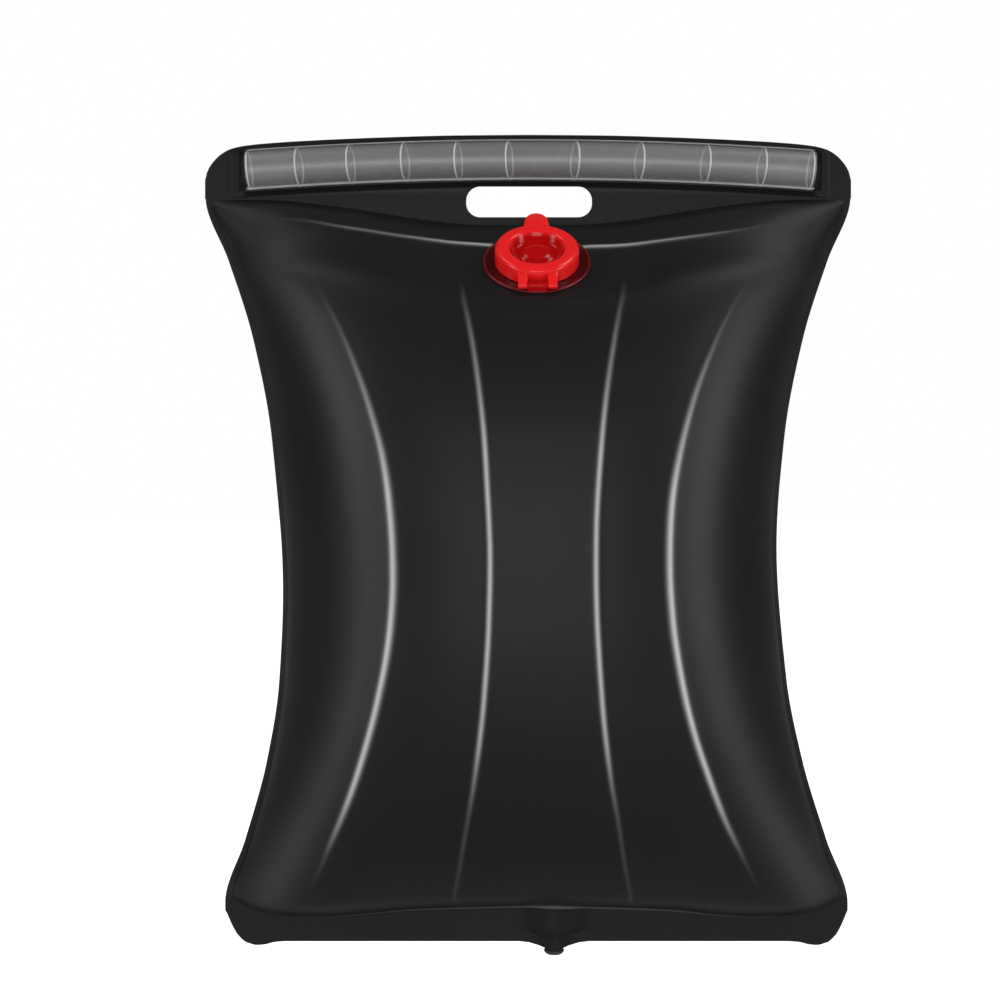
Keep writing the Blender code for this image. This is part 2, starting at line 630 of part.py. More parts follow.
def build_tube():
    """Handle tube with its raised rings, following the bow."""
    stations = [(-TUBE_HALF_LENGTH, TUBE_RADIUS)]
    for share in RING_PLACE_SHARES:
        middle, half = share * TUBE_HALF_LENGTH, RING_WIDTH / 2
        stations += [(middle - half, TUBE_RADIUS), (middle - half + RING_HEIGHT, RING_RADIUS)]
        stations += [(middle + half - RING_HEIGHT, RING_RADIUS), (middle + half, TUBE_RADIUS)]
    stations.append((TUBE_HALF_LENGTH, TUBE_RADIUS))
    for k in range(TUBE_BORE_STEPS + 1):
        stations.append((TUBE_HALF_LENGTH * (1 - 2 * k / TUBE_BORE_STEPS), TUBE_RADIUS - TUBE_WALL))
    points, faces = [], []
    for along, radius in stations:
        x = TUBE_MIDDLE_X + along
        slope = -2 * TUBE_SAG * along / TUBE_HALF_LENGTH**2
        up = Vector((-slope, 0, 1)).normalized()
        centre = Vector((x, 0, tube_height(x)))
        for y, z in arc(0, 0, radius, 0, 360, TUBE_SIDES)[:-1]:
            points.append(centre + up * z + Vector((0, y, 0)))
    for i in range(len(stations)):
        a, b = i * TUBE_SIDES, (i + 1) % len(stations) * TUBE_SIDES
        for k in range(TUBE_SIDES):
            following = (k + 1) % TUBE_SIDES
            faces.append([a + k, a + following, b + following, b + k])
    return new_object("handle_tube", points, faces, "smoke_tube")


def on_filler(shape):
    """Moves points given as (across, down the film, out) to the filler's place on the bag."""
    points, faces = shape
    centre, across, down, out = filler_axes()
    return [centre + across * point[0] + down * point[1] + out * point[2] for point in points], faces


def hinge_cylinder(radius, half_length):
    circle = arc(HINGE_REACH, HINGE_HEIGHT, radius, 0, 360, PIN_STEPS)[:-1]
    outline = [Vector((0, reach, height)) for reach, height in circle]
    return prism(outline, Vector((-half_length, 0, 0)), Vector((half_length, 0, 0)))


def build_filler_base():
    """Flange, neck, lug and hinge pin in one piece."""
    bead_inside = FLANGE_RADIUS - RIM_BEAD_WIDTH
    bead_top = FLANGE_TOP + RIM_BEAD_HEIGHT
    neck_bead = NECK_TOP - NECK_BEAD_DROP
    profile = [
        (NECK_BORE, FLANGE_LIFT),
        (FLANGE_RADIUS, FLANGE_LIFT),
        (FLANGE_RADIUS, bead_top - EDGE_ROUND),
        (FLANGE_RADIUS - EDGE_ROUND, bead_top),
        (bead_inside + RIM_BEAD_HEIGHT, bead_top),
        (bead_inside, FLANGE_TOP),
        (NECK_RADIUS + NECK_FILLET, FLANGE_TOP),
        (NECK_RADIUS, FLANGE_TOP + NECK_FILLET),
        (NECK_RADIUS, neck_bead - NECK_BEAD),
        (NECK_RADIUS + NECK_BEAD, neck_bead),
        (NECK_RADIUS, neck_bead + NECK_BEAD),
        (NECK_RADIUS - EDGE_ROUND, NECK_TOP),
        (NECK_BORE, NECK_TOP),
    ]
    base = new_object("filler_base", *on_filler(turned(profile, ROUND_STEPS)), "red_plastic")
    foot = FLANGE_TOP - FLANGE_THICKNESS / 2
    outline = [(HINGE_REACH + LUG_ROOT_WIDTH / 2, foot), (HINGE_REACH - LUG_ROOT_WIDTH / 2, foot)]
    outline += arc(HINGE_REACH, HINGE_HEIGHT, LUG_RADIUS, 180, 0, KNUCKLE_STEPS)
    lug = [Vector((0, reach, height)) for reach, height in outline]
    side = Vector((LUG_WIDTH / 2, 0, 0))
    boolean(base, "lug_joined", on_filler(prism(lug, -side, side)), "UNION")
    pin = hinge_cylinder(PIN_RADIUS, EAR_OUTER_X - PIN_END_GAP)
    boolean(base, "pin_joined", on_filler(pin), "UNION")


def cap_profile():
    """Half section of the lid, from the button's middle over the top, round the skirt and back underneath."""
    skirt_inside = CAP_RADIUS - CAP_SKIRT_WALL
    snap_bottom = PLATE_UNDERSIDE - SNAP_RING_DEPTH
    button_top = WELL_FLOOR + BUTTON_HEIGHT
    plug_foot = WELL_RADIUS - PLUG_FOOT_INSET
    profile = [
        (0.0, button_top),
        (BUTTON_RADIUS - BUTTON_ROUND, button_top),
        (BUTTON_RADIUS - EDGE_ROUND, button_top - BUTTON_ROUND / 2),
        (BUTTON_RADIUS, WELL_FLOOR + EDGE_ROUND),
        (BUTTON_RADIUS + BUTTON_ROUND, WELL_FLOOR),
        (WELL_RADIUS - 2 * WELL_TAPER, WELL_FLOOR),
        (WELL_RADIUS - WELL_TAPER, WELL_FLOOR + WELL_TAPER / 2),
        (WELL_RADIUS - EDGE_ROUND, CAP_TOP - 2 * EDGE_ROUND),
        (WELL_RADIUS + EDGE_ROUND, CAP_TOP),
        (CAP_RADIUS - CAP_EDGE_ROUND, CAP_TOP),
        (CAP_RADIUS - CAP_EDGE_ROUND / 4, CAP_TOP - CAP_EDGE_ROUND / 3),
        (CAP_RADIUS, CAP_TOP - CAP_EDGE_ROUND),
        (CAP_RADIUS, CAP_SKIRT_BOTTOM),
        (skirt_inside, CAP_SKIRT_BOTTOM),
        (skirt_inside, PLATE_UNDERSIDE),
        (SNAP_RING_OUTSIDE, PLATE_UNDERSIDE),
        (SNAP_RING_OUTSIDE, snap_bottom),
        (SNAP_RING_INSIDE + EDGE_ROUND, snap_bottom),
        (SNAP_RING_INSIDE, snap_bottom + EDGE_ROUND),
        (SNAP_RING_INSIDE, PLATE_UNDERSIDE),
    ]
    for down, inward in PLUG_TAPER_SHARES:
        radius = PLUG_RADIUS + (plug_foot - PLUG_RADIUS) * inward
        profile.append((radius, PLATE_UNDERSIDE + (WELL_UNDERSIDE - PLATE_UNDERSIDE) * down))
    profile.append((0.0, WELL_UNDERSIDE))
    return profile


def tab_outline():
    """Pull tab, on the upper side of the cap: its root in the plate, and a rounded end."""
    half = TAB_WIDTH / 2
    root = TAB_ROOT - CAP_RADIUS
    corner = half * TAB_CORNER_SHARE
    end = corner - CAP_RADIUS - TAB_BEYOND_CAP
    outline = [(half, root), (-half, root)]
    outline += arc(corner - half, end, corner, 180, 270, TAB_CORNER_STEPS)
    outline += arc(half - corner, end, corner, 270, 360, TAB_CORNER_STEPS)
    return [Vector((x, reach, 0)) for x, reach in outline]


def build_filler_cap():
    """Lid with well, button, skirt, snap ring, plug, pull tab and two ears. Its origin is on its hinge."""
    cap = new_object("filler_cap", *on_filler(turned(cap_profile(), ROUND_STEPS)), "red_plastic")
    tab_top = Vector((0, 0, CAP_TOP - TAB_STEP))
    tab = prism(tab_outline(), tab_top - Vector((0, 0, TAB_THICKNESS)), tab_top)
    boolean(cap, "tab_joined", on_filler(tab), "UNION")
    root = CAP_RADIUS - EAR_ROOT_DEPTH
    root_bottom = CAP_SKIRT_BOTTOM + EAR_LIFT
    outline = [(root, root_bottom), (root, root_bottom + EAR_ROOT_HEIGHT)]
    outline += arc(HINGE_REACH, HINGE_HEIGHT, EAR_RADIUS, 78, -90, KNUCKLE_STEPS)
    ear = [Vector((0, reach, height)) for reach, height in outline]
    for name, side in (("left_ear_joined", -1), ("right_ear_joined", 1)):
        near, far = Vector((side * EAR_INNER_X, 0, 0)), Vector((side * EAR_OUTER_X, 0, 0))
        boolean(cap, name, on_filler(prism(ear, near, far)), "UNION")
    hole = hinge_cylinder(PIN_RADIUS + PIN_CLEARANCE, EAR_OUTER_X + CUT_OVERRUN)
    boolean(cap, "ear_hole_cut", on_filler(hole), "DIFFERENCE")
    centre, _, down, out = filler_axes()
    hinge = centre + down * HINGE_REACH + out * HINGE_HEIGHT
    cap.data.transform(Matrix.Translation(-hinge))
    cap.location = hinge


def build_spout():
    """Round spout with a lens-shaped base for the weld."""
    corners = [(SPOUT_BORE_RADIUS, SPOUT_END_Z), (SPOUT_RADIUS, SPOUT_END_Z)]
    corners += [(SPOUT_RADIUS, SPOUT_TOP_Z), (SPOUT_BORE_RADIUS, SPOUT_TOP_Z)]
    middle = Vector((OUTLET_X, 0, 0))
    points, faces = turned(corners, SPOUT_SIDES)
    spout = new_object("outlet_spout", [point + middle for point in points], faces, "dark_plastic")
    quarter = [
        (BOAT_HALF_LENGTH * share, lens(BOAT_HALF_LENGTH * share, BOAT_HALF_LENGTH, BOAT_HALF_THICKNESS))
        for share in BOAT_OUTLINE_SHARES
    ]
    half = quarter + [(-x, y) for x, y in quarter[-2::-1]]
    outline = [middle + Vector((x, y, 0)) for x, y in half + [(x, -y) for x, y in half[-2:0:-1]]]
    boat = prism(outline, Vector((0, 0, BOAT_BOTTOM_Z)), Vector((0, 0, BOAT_TOP_Z)))
    boolean(spout, "boat_joined", boat, "UNION")
    bore = [middle + Vector((x, y, 0)) for x, y in arc(0, 0, SPOUT_BORE_RADIUS, 0, 360, SPOUT_SIDES)[:-1]]
    cut = prism(bore, Vector((0, 0, SPOUT_END_Z - CUT_OVERRUN)), Vector((0, 0, SPOUT_TOP_Z + CUT_OVERRUN)))
    boolean(spout, "bore_cut", cut, "DIFFERENCE")


def build_stopper():
    """Bung with a waisted head. Its origin is on the spout's axis, at the head's shoulder."""
    shaft = SPOUT_BORE_RADIUS - STOPPER_CLEARANCE
    waist = STOPPER_HEAD_RADIUS - STOPPER_WAIST
    profile = [
        (0.0, STOPPER_SHAFT_LENGTH),
        (shaft - STOPPER_TIP_ROUND, STOPPER_SHAFT_LENGTH),
        (shaft, STOPPER_SHAFT_LENGTH - STOPPER_TIP_ROUND),
        (shaft, 0.0),
        (STOPPER_HEAD_RADIUS - EDGE_ROUND, 0.0),
        (STOPPER_HEAD_RADIUS, -EDGE_ROUND),
        (STOPPER_HEAD_RADIUS, -STOPPER_WAIST),
        (waist, STOPPER_TIP_ROUND - STOPPER_HEAD_HEIGHT),
        (waist - STOPPER_TIP_ROUND, -STOPPER_HEAD_HEIGHT),
        (0.0, -STOPPER_HEAD_HEIGHT),
    ]
    stopper = new_object("outlet_stopper", *turned(profile, SPOUT_SIDES), "grey_rubber")
    stopper.location = (OUTLET_X, 0, SPOUT_END_Z - STOPPER_HEAD_GAP)


def main():
    clear_scene()
    build_films()
    build_window()
    build_tube()
    build_filler_base()
    build_filler_cap()
    build_spout()
    build_stopper()
    for made in bpy.data.objects:
        if not made.hide_render:
            made.data.shade_smooth()


main()
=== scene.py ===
# %% [markdown]
# # A camp shower bag, filled and hanging
#
# The real thing is a black film bag of about twenty litres. Two films are welded together along their
# edges. A stiff tube runs through a sleeve at the top, and a hand or a hook goes through the slot under it.
# Water goes in through the red valve and leaves through the small outlet at the bottom.
#
# The construction is loaded as a fixed frame. Everything below dresses it: finer shapes for the films, the
# see-through sleeve, the tube and the valve, and a finish for each of them.

# %% Load the frame
import math

import bmesh
import bpy
import numpy as np
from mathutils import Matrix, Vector


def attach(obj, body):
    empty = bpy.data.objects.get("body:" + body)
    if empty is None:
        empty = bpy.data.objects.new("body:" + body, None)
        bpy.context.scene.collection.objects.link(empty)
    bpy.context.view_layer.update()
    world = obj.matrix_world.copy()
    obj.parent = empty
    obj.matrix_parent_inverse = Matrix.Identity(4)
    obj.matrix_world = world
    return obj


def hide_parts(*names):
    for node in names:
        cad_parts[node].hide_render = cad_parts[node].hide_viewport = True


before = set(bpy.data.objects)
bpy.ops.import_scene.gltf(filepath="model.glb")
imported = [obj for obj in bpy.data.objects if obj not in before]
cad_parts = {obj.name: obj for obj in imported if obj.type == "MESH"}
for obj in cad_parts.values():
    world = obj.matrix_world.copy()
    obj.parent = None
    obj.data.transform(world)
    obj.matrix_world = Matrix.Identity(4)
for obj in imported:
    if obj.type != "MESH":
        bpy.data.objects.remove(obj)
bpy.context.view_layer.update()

# %% [markdown]
# ## Smooth curves from short tables
#
# The bag has no straight edges, so its outlines come from short tables: a place along the edge, and a
# share of the largest size there. Straight lines between the rows would show as kinks. A plain cubic
# would swing past the rows and make bumps. This cubic takes its slopes from both neighbours, so it stays
# between the rows.

# %% Curve through a table


def curve_through(table, places):
    """Values at these places of a smooth curve through the table's rows of (place, value)."""
    x, y = np.array(table, float).T
    steps = np.diff(x)
    slopes = np.diff(y) / steps
    tangents = np.zeros(len(x))
    for i in range(1, len(x) - 1):
        if slopes[i - 1] * slopes[i] > 0:
            before, after = 2 * steps[i] + steps[i - 1], steps[i] + 2 * steps[i - 1]
            tangents[i] = (before + after) / (before / slopes[i - 1] + after / slopes[i])
    tangents[0] = (3 * slopes[0] - tangents[1]) / 2
    tangents[-1] = (3 * slopes[-1] - tangents[-2]) / 2
    places = np.clip(places, x[0], x[-1])
    i = np.clip(np.searchsorted(x, places, side="right") - 1, 0, len(x) - 2)
    t = (places - x[i]) / steps[i]
    low = (1 + 2 * t) * (1 - t) ** 2 * y[i] + t * (1 - t) ** 2 * steps[i] * tangents[i]
    high = t * t * (3 - 2 * t) * y[i + 1] + t * t * (t - 1) * steps[i] * tangents[i + 1]
    return low + high


def smooth_step(share):
    share = np.clip(share, 0.0, 1.0)
    return share * share * (3 - 2 * share)


print("A quarter of the way up, a smooth step reaches:", float(smooth_step(0.25)))

# %% [markdown]
# ## The bag's outline
#
# Seen from the front the bag is wide at the top, drawn in at the waist by its filling, and wide again at
# the bottom, where it ends in three rounded lobes. These are the construction's own sizes, in metres, so
# the dressed films lie where its solids are.

# %% Sizes and outlines of the bag
BAG_HALF_WIDTH = 0.2195
BAG_DROP = 0.513
LOWER_DRIFT = 0.0054
BAG_TOP = 0.03495
FILM_THICKNESS = 0.0008
FILM_HALF_GAP = 0.00015
FILM_OUTSIDE = FILM_THICKNESS - 0.00002
SIDE_WELD = 0.004
OUTLINE = (
    (0.0, 1.0), (0.018, 0.998), (0.0975, 0.928), (0.203, 0.8505), (0.335, 0.793), (0.503, 0.7654),
    (0.654, 0.7854), (0.76, 0.8287), (0.8655, 0.8998), (0.949, 0.9636), (1.0, 0.961),
)
DRIFT = ((0.0, 0.0), (0.39, 0.0), (0.6, 0.5), (0.8, 0.9), (1.0, 1.1))
TOP_EDGE = (
    (0.0, 1.0), (0.228, 0.987), (0.456, 0.942), (0.683, 0.871), (0.82, 0.806), (0.888, 0.748), (0.925, 0.677),
    (0.952, 0.565), (0.975, 0.403), (0.993, 0.194), (1.0, 0.0),
)
BOTTOM_RISE = ((0.0, 0.0), (0.8975, 0.0), (0.925, 0.19), (0.943, 0.524), (0.961, 1.0))
BOTTOM_LOBE = (
    (0.0, 0.0), (0.774, 0.0), (0.811, 0.19), (0.847, 0.88), (0.87, 1.0), (0.8975, 0.38), (0.925, 0.0),
)
TOP_CORNER_DROP = 0.031
BOTTOM_CORNER_RISE = 0.021
BOTTOM_CORNER_LOBE = 0.0026
OUTLET_X = 0.0177
LOBE_DROP = 0.0046
LOBE_HALF_WIDTH = 0.022


def half_width(z):
    return curve_through(OUTLINE, -z / BAG_DROP) * BAG_HALF_WIDTH


def middle_x(z):
    return curve_through(DRIFT, -z / BAG_DROP) * LOWER_DRIFT


def top_edge_height(x):
    return BAG_TOP - TOP_CORNER_DROP * (1 - curve_through(TOP_EDGE, np.abs(x) / BAG_HALF_WIDTH))


def bottom_edge_height(x):
    from_middle = np.abs(x - middle_x(-BAG_DROP)) / BAG_HALF_WIDTH
    rise = BOTTOM_CORNER_RISE * curve_through(BOTTOM_RISE, from_middle)
    corner_lobe = BOTTOM_CORNER_LOBE * curve_through(BOTTOM_LOBE, from_middle)
    outlet_lobe = LOBE_DROP * np.clip(1 - ((x - OUTLET_X) / LOBE_HALF_WIDTH) ** 2, 0, 1) ** 2
    return rise - BAG_DROP - corner_lobe - outlet_lobe


print("Width at the waist in mm:", round(2000 * float(half_width(-0.26)), 1))

# %% [markdown]
# ## The filled chamber
#
# The two films part along a weld under the web and meet again at the weld above the bottom hem. Between
# them the water pushes each film out by up to a hundred millimetres. The fullness is a table down the
# bag, times a flat-topped curve across it, so the front is a broad panel with a full roll at each side.

# %% Welds and depth of the chamber
WEB_HEIGHT = 0.0273
BOTTOM_HEM = 0.0244
CHAMBER_DEPTH = 0.1
TOP_WELD = (
    (0.0, 1.0), (0.12, 0.98), (0.25, 0.916), (0.4, 0.762), (0.55, 0.571), (0.7, 0.421), (0.8, 0.352),
    (1.0, 0.33),
)
BOTTOM_WELD = ((0.0, 1.0), (0.4, 0.902), (0.7, 0.697), (0.8, 0.697), (0.9, 0.82), (0.97, 1.066), (1.0, 1.27))
FULLNESS = (
    (0.0, 0.0), (0.0065, 0.1), (0.0156, 0.182), (0.0677, 0.45), (0.12, 0.71), (0.173, 0.84), (0.238, 0.92),
    (0.325, 0.975), (0.433, 1.0), (0.563, 1.0), (0.693, 0.965), (0.8, 0.87), (0.887, 0.695), (0.952, 0.44),
    (0.985, 0.225), (1.0, 0.0),
)
CROSS_FLATNESS = 2.8
CROSS_ROUNDNESS = 2.0


def top_weld(share):
    return -WEB_HEIGHT * curve_through(TOP_WELD, np.abs(share))


def bottom_weld(share):
    return BOTTOM_HEM * curve_through(BOTTOM_WELD, np.abs(share)) - BAG_DROP


def chamber_depth(down, share):
    cross = np.clip(1 - np.abs(share) ** CROSS_FLATNESS, 0, 1) ** (1 / CROSS_ROUNDNESS)
    return curve_through(FULLNESS, down) * CHAMBER_DEPTH * cross


print("At its middle each half is deep in mm:", round(1000 * float(chamber_depth(0.5, 0.0)), 1))

# %% [markdown]
# ## The handle tube and its sleeve
#
# The tube is bowed a little upwards and lies in a sleeve: a pocket in the back film, and a see-through
# strip in the front. The sleeve's seams follow the same bow, so its height is a function of x too.

# %% Line of the tube and of its seams
TUBE_X = 0.0015
TUBE_HALF_LENGTH = 0.1925
TUBE_Z = 0.0176
TUBE_SAG = 0.007
TUBE_RADIUS = 0.0129
SLEEVE_INSIDE = 0.01355
WINDOW_THICKNESS = 0.0005
WINDOW_LIP = 0.0024
WINDOW_END = 0.0044
OPENING_ROOM = 0.0005
SLEEVE_END = TUBE_HALF_LENGTH + OPENING_ROOM
SEAM_ROOM = 0.0003
SLEEVE_STEP = WINDOW_THICKNESS + SEAM_ROOM
POCKET_HEM = 0.0015
POCKET_TAPER = 0.008
WEB_STEP = 0.002


def tube_height(x):
    return TUBE_Z - TUBE_SAG * ((x - TUBE_X) / TUBE_HALF_LENGTH) ** 2


def pocket_limits(x):
    outside = SLEEVE_INSIDE + FILM_THICKNESS
    top = np.minimum(tube_height(x) + outside, top_edge_height(x) - POCKET_HEM)
    return top, np.minimum(tube_height(x) - outside, top - 2 * POCKET_HEM)


def web_top(x):
    lip = SLEEVE_INSIDE + WINDOW_THICKNESS + WINDOW_LIP
    return np.minimum(tube_height(x) - lip, pocket_limits(x)[1]) - SEAM_ROOM


print("The tube's middle lies at mm:", round(1000 * float(tube_height(TUBE_X)), 1))

# %% [markdown]
# ## The valve's place
#
# The valve sits on the sloping shoulder, so its axis leans back by 48 degrees. The film is drawn flat
# under its flange. Three directions describe the place: across, down the film, and out of it.

# %% Axes of the valve
FILLER_TILT = math.radians(48)
FILLER_CENTRE = Vector((0.005, -0.046027, -0.0586))
FILLER_DOWN = Vector((0, -math.sin(FILLER_TILT), -math.cos(FILLER_TILT)))
FILLER_OUT = Vector((0, -math.cos(FILLER_TILT), math.sin(FILLER_TILT)))
FLANGE_RADIUS = 0.035
FLAT_RADIUS = 0.04
FLAT_BLEND = 0.022
ACROSS_WEIGHT = 0.7


def distance_on_film(x, z):
    """Distance from the valve's axis along its own plane, a little shorter across than down."""
    return np.hypot((x - FILLER_CENTRE.x) * ACROSS_WEIGHT, (z - FILLER_CENTRE.z) / math.cos(FILLER_TILT))


def flattened(x, y, z):
    plane = FILLER_CENTRE.y + (z - FILLER_CENTRE.z) * math.tan(FILLER_TILT)
    flat = 1 - smooth_step((distance_on_film(x, z) - FLAT_RADIUS) / FLAT_BLEND)
    return y + (plane - y) * flat


print("The film is tilted under the valve by degrees:", round(math.degrees(FILLER_TILT), 1))

# %% [markdown]
# ## Creases in the films
#
# Sharp folds run over the front: two long ones down each half and one across the shoulder. The film is
# paler along them, and a little along the bottom weld: partly because PVC whitens where it is bent hard,
# and partly as a painted highlight on each fold. Each fold is a table of where it runs and a table of how
# strong it is. Both are shares, so the folds stay on the film if the bag's size changes. Just outside the
# outer folds a painted highlight runs along each side roll, and just above the bottom weld painted light
# takes out the shade. That is a second mask, kept beside the one for the folds.

# %% Tables of the creases
OUTER_LEFT = (
    (0.0, -0.79), (0.095, -0.752), (0.151, -0.7035), (0.205, -0.6532), (0.257, -0.6128), (0.309, -0.5779),
    (0.361, -0.5486), (0.413, -0.5345), (0.465, -0.5301), (0.518, -0.5324), (0.57, -0.5425), (0.623, -0.5605),
    (0.676, -0.5879), (0.729, -0.6163), (0.783, -0.6458), (0.839, -0.6786), (0.898, -0.7126), (1.0, -0.75),
)
INNER_LEFT = (
    (0.0, -0.25), (0.13, -0.2235), (0.187, -0.2035), (0.242, -0.1875), (0.35, -0.166), (0.457, -0.158),
    (0.564, -0.17), (0.672, -0.1921), (0.783, -0.2228), (0.84, -0.24), (0.901, -0.255), (1.0, -0.27),
)
INNER_RIGHT = (
    (0.0, 0.345), (0.134, 0.3085), (0.19, 0.2915), (0.244, 0.2769), (0.351, 0.2563), (0.458, 0.2432),
    (0.565, 0.2368), (0.673, 0.2435), (0.783, 0.2594), (0.84, 0.2743), (0.901, 0.2853), (1.0, 0.305),
)
OUTER_RIGHT = (
    (0.0, 0.8), (0.117, 0.745), (0.151, 0.7012), (0.2045, 0.6499), (0.257, 0.608), (0.309, 0.5757),
    (0.361, 0.5495), (0.413, 0.533), (0.465, 0.5265), (0.518, 0.5238), (0.57, 0.527), (0.623, 0.5395),
    (0.676, 0.5591), (0.729, 0.5835), (0.783, 0.6145), (0.839, 0.6466), (0.898, 0.6883), (1.0, 0.74),
)
LONG_CREASES = (OUTER_LEFT, INNER_LEFT, INNER_RIGHT, OUTER_RIGHT)
# How strong each fold's paler line is: partly stress whitening, partly a painted highlight.
OUTER_STRENGTH = (
    (0.1, 0.0), (0.151, 0.02), (0.205, 0.11), (0.257, 0.29), (0.309, 0.47), (0.361, 0.7), (0.413, 0.92),
    (0.518, 0.93), (0.623, 0.97), (0.729, 0.94), (0.783, 0.88), (0.839, 0.45), (0.898, 0.06), (0.95, 0.0),
)
INNER_STRENGTH = (
    (0.1, 0.0), (0.13, 0.06), (0.187, 0.23), (0.242, 0.37), (0.296, 0.6), (0.35, 0.8), (0.62, 0.82),
    (0.672, 0.77), (0.727, 0.66), (0.783, 0.28), (0.84, 0.1), (0.93, 0.055), (0.97, 0.035), (0.995, 0.0),
)
LONG_STRENGTHS = (OUTER_STRENGTH, INNER_STRENGTH, INNER_STRENGTH, OUTER_STRENGTH)
LONG_SPREADS = (0.0019, 0.0015, 0.0015, 0.0019)
SHOULDER_CREASE = (
    (-1.0, 0.028), (-0.724, 0.0315), (-0.573, 0.0375), (-0.417, 0.0385), (-0.257, 0.038), (-0.16, 0.0385),
    (0.233, 0.0438), (0.395, 0.0475), (0.553, 0.0485), (0.709, 0.044), (0.78, 0.037), (1.0, 0.034),
)
SHOULDER_STRENGTH = (
    (-0.78, 0.0), (-0.724, 0.03), (-0.664, 0.09), (-0.573, 0.2), (-0.417, 0.26), (-0.257, 0.5),
    (-0.16, 0.66), (0.233, 0.68), (0.395, 0.42), (0.553, 0.23), (0.709, 0.03), (0.78, 0.0),
)
BOTTOM_WELD_STRENGTH = (
    (-0.86, 0.0), (-0.72, 0.02), (-0.6, 0.05), (-0.45, 0.07), (-0.28, 0.1), (-0.1, 0.13), (0.05, 0.15),
    (0.3, 0.15), (0.5, 0.11), (0.7, 0.05), (0.86, 0.0),
)
# Places of the painted highlight along each side roll, measured outwards from the outer folds.
HIGHLIGHT_OUT_LEFT = ((0.0, 0.14), (0.2, 0.1), (0.5, 0.07), (0.7, 0.09), (0.9, 0.12), (1.0, 0.13))
HIGHLIGHT_OUT_RIGHT = ((0.0, 0.1), (0.2, 0.115), (0.5, 0.11), (0.7, 0.15), (0.9, 0.17), (1.0, 0.18))
HIGHLIGHT_SPREAD = 0.085
HIGHLIGHT_STRENGTH = (
    (0.0, 0.0), (0.04, 0.08), (0.12, 0.65), (0.3, 0.75), (0.5, 0.6), (0.75, 0.75), (0.95, 1.0), (1.0, 0.6),
)
# Painted light just above the bottom weld, which takes out the shade there.
PAINTED_LIGHT_ABOVE_WELD = 0.35
ABOVE_WELD_START = 0.965
ABOVE_WELD_FADE = 0.02
ACROSS_SPREAD = 0.0015
FOLD_HEIGHT = 0.0011
print("Long folds on each film:", len(LONG_CREASES))

# %% [markdown]
# ## A grid whose lines follow the folds
#
# A fold is only three millimetres wide. A square grid fine enough for it would need millions of faces. So
# the grid's columns are bent along the long folds and its rows along the cross folds, and only there they
# lie close together. Places across the bag are kept as an angle, whose sine is the share of the half
# width: that packs columns towards the round sides.

# %% Columns and rows of the film's grid
HALF_COLUMNS = 60
FOLD_OFFSETS = (-0.0044, -0.003, -0.002, -0.0012, -0.0006, 0.0, 0.0006, 0.0012, 0.002, 0.003, 0.0044)
CHAMBER_ROWS = 128
WAIST_HALF_WIDTH = 0.165


def to_turn(share):
    return np.arcsin(np.clip(share, -1, 1)) * 2 / math.pi


def fold_at(table, down):
    return curve_through(table, np.clip(down, 0, 1))


mean_turns = [float(to_turn(fold_at(table, np.linspace(0.1, 0.9, 9))).mean()) for table in LONG_CREASES]
fold_room = 0.0044 / WAIST_HALF_WIDTH
column_plan = [
    (turn, -1, 0.0)
    for turn in np.linspace(-1, 1, 2 * HALF_COLUMNS + 1)
    if min(abs(turn - mean) for mean in mean_turns) > fold_room
]
column_plan += [
    (mean + offset / WAIST_HALF_WIDTH * 0.7, fold, offset)
    for fold, mean in enumerate(mean_turns)
    for offset in FOLD_OFFSETS
]
column_plan.sort()


def column_shares(down):
    """Share of the half width for every column at this share of the way down the chamber."""
    folds = [float(fold_at(table, down)) for table in LONG_CREASES]
    turns = [float(to_turn(fold)) for fold in folds]
    width = float(half_width(-down * BAG_DROP))
    shares = []
    for turn, fold, offset in column_plan:
        if fold < 0:
            bent = np.interp(turn, [-1, *mean_turns, 1], [-1, *turns, 1])
            shares.append(math.sin(bent * math.pi / 2))
        else:
            shares.append(folds[fold] + offset / width)
    return np.array(shares)


SHOULDER_MEAN = 0.04
row_plan = []
for k in range(1, CHAMBER_ROWS):
    even = k / CHAMBER_ROWS
    down = even - 0.125 * math.sin(2 * math.pi * even)
    if abs(down - SHOULDER_MEAN) > 0.006:
        row_plan.append((down, False, 0.0))
row_plan += [(SHOULDER_MEAN + offset / 0.7, True, offset) for offset in FOLD_OFFSETS if abs(offset) < 0.004]
row_plan.sort()
print("The film's grid:", len(column_plan), "columns and", len(row_plan), "rows in the chamber")

# %% [markdown]
# ## Rows from the top edge to the bottom edge
#
# A film is made row by row, each as three lists: x, depth and height. The chamber's rows know how far
# each point is from the nearest fold. That distance raises the film a little, and it is kept on the mesh
# as a mask, which the material makes paler later: partly stress whitening, partly a painted highlight.

# %% Rows of one film
WEB_ROWS = 7
HEM_SHARES = (0.0, 0.02, 0.04, 0.06, 0.1, *np.linspace(0.17, 1.0, 13))
HEM_MASK_END = 0.05
SLEEVE_ROWS = 9
COLLAR_RISE = 0.0013
COLLAR_TOP = 0.0146
COLLAR_LIP = 0.0006
COLLAR_LEAST = 0.001
POCKET_STEPS = 30
BAND_STEPS = (1 / 3, 2 / 3, 1.0)
STEP_FADE = 0.004
END_OVERLAP = 0.002
SHOULDER_ARC = 1.5
SPOUT_RADIUS = 0.006
BOAT_HALF_LENGTH = 0.014
BOAT_HALF_THICKNESS = 0.0062
BOAT_BOTTOM = -0.5015
BOAT_POWER = 0.8
SPOUT_START = 0.55
SPOUT_FADE = 0.2
OUTLET_REACH = 0.0035
OUTLET_ROOM = 0.0005
OUTLET_LIFT = 0.13


def with_band(values):
    """The columns' values with the edge value repeated for the welded band at each side."""
    return np.concatenate([[values[0]] * len(BAND_STEPS), values, [values[-1]] * len(BAND_STEPS)])


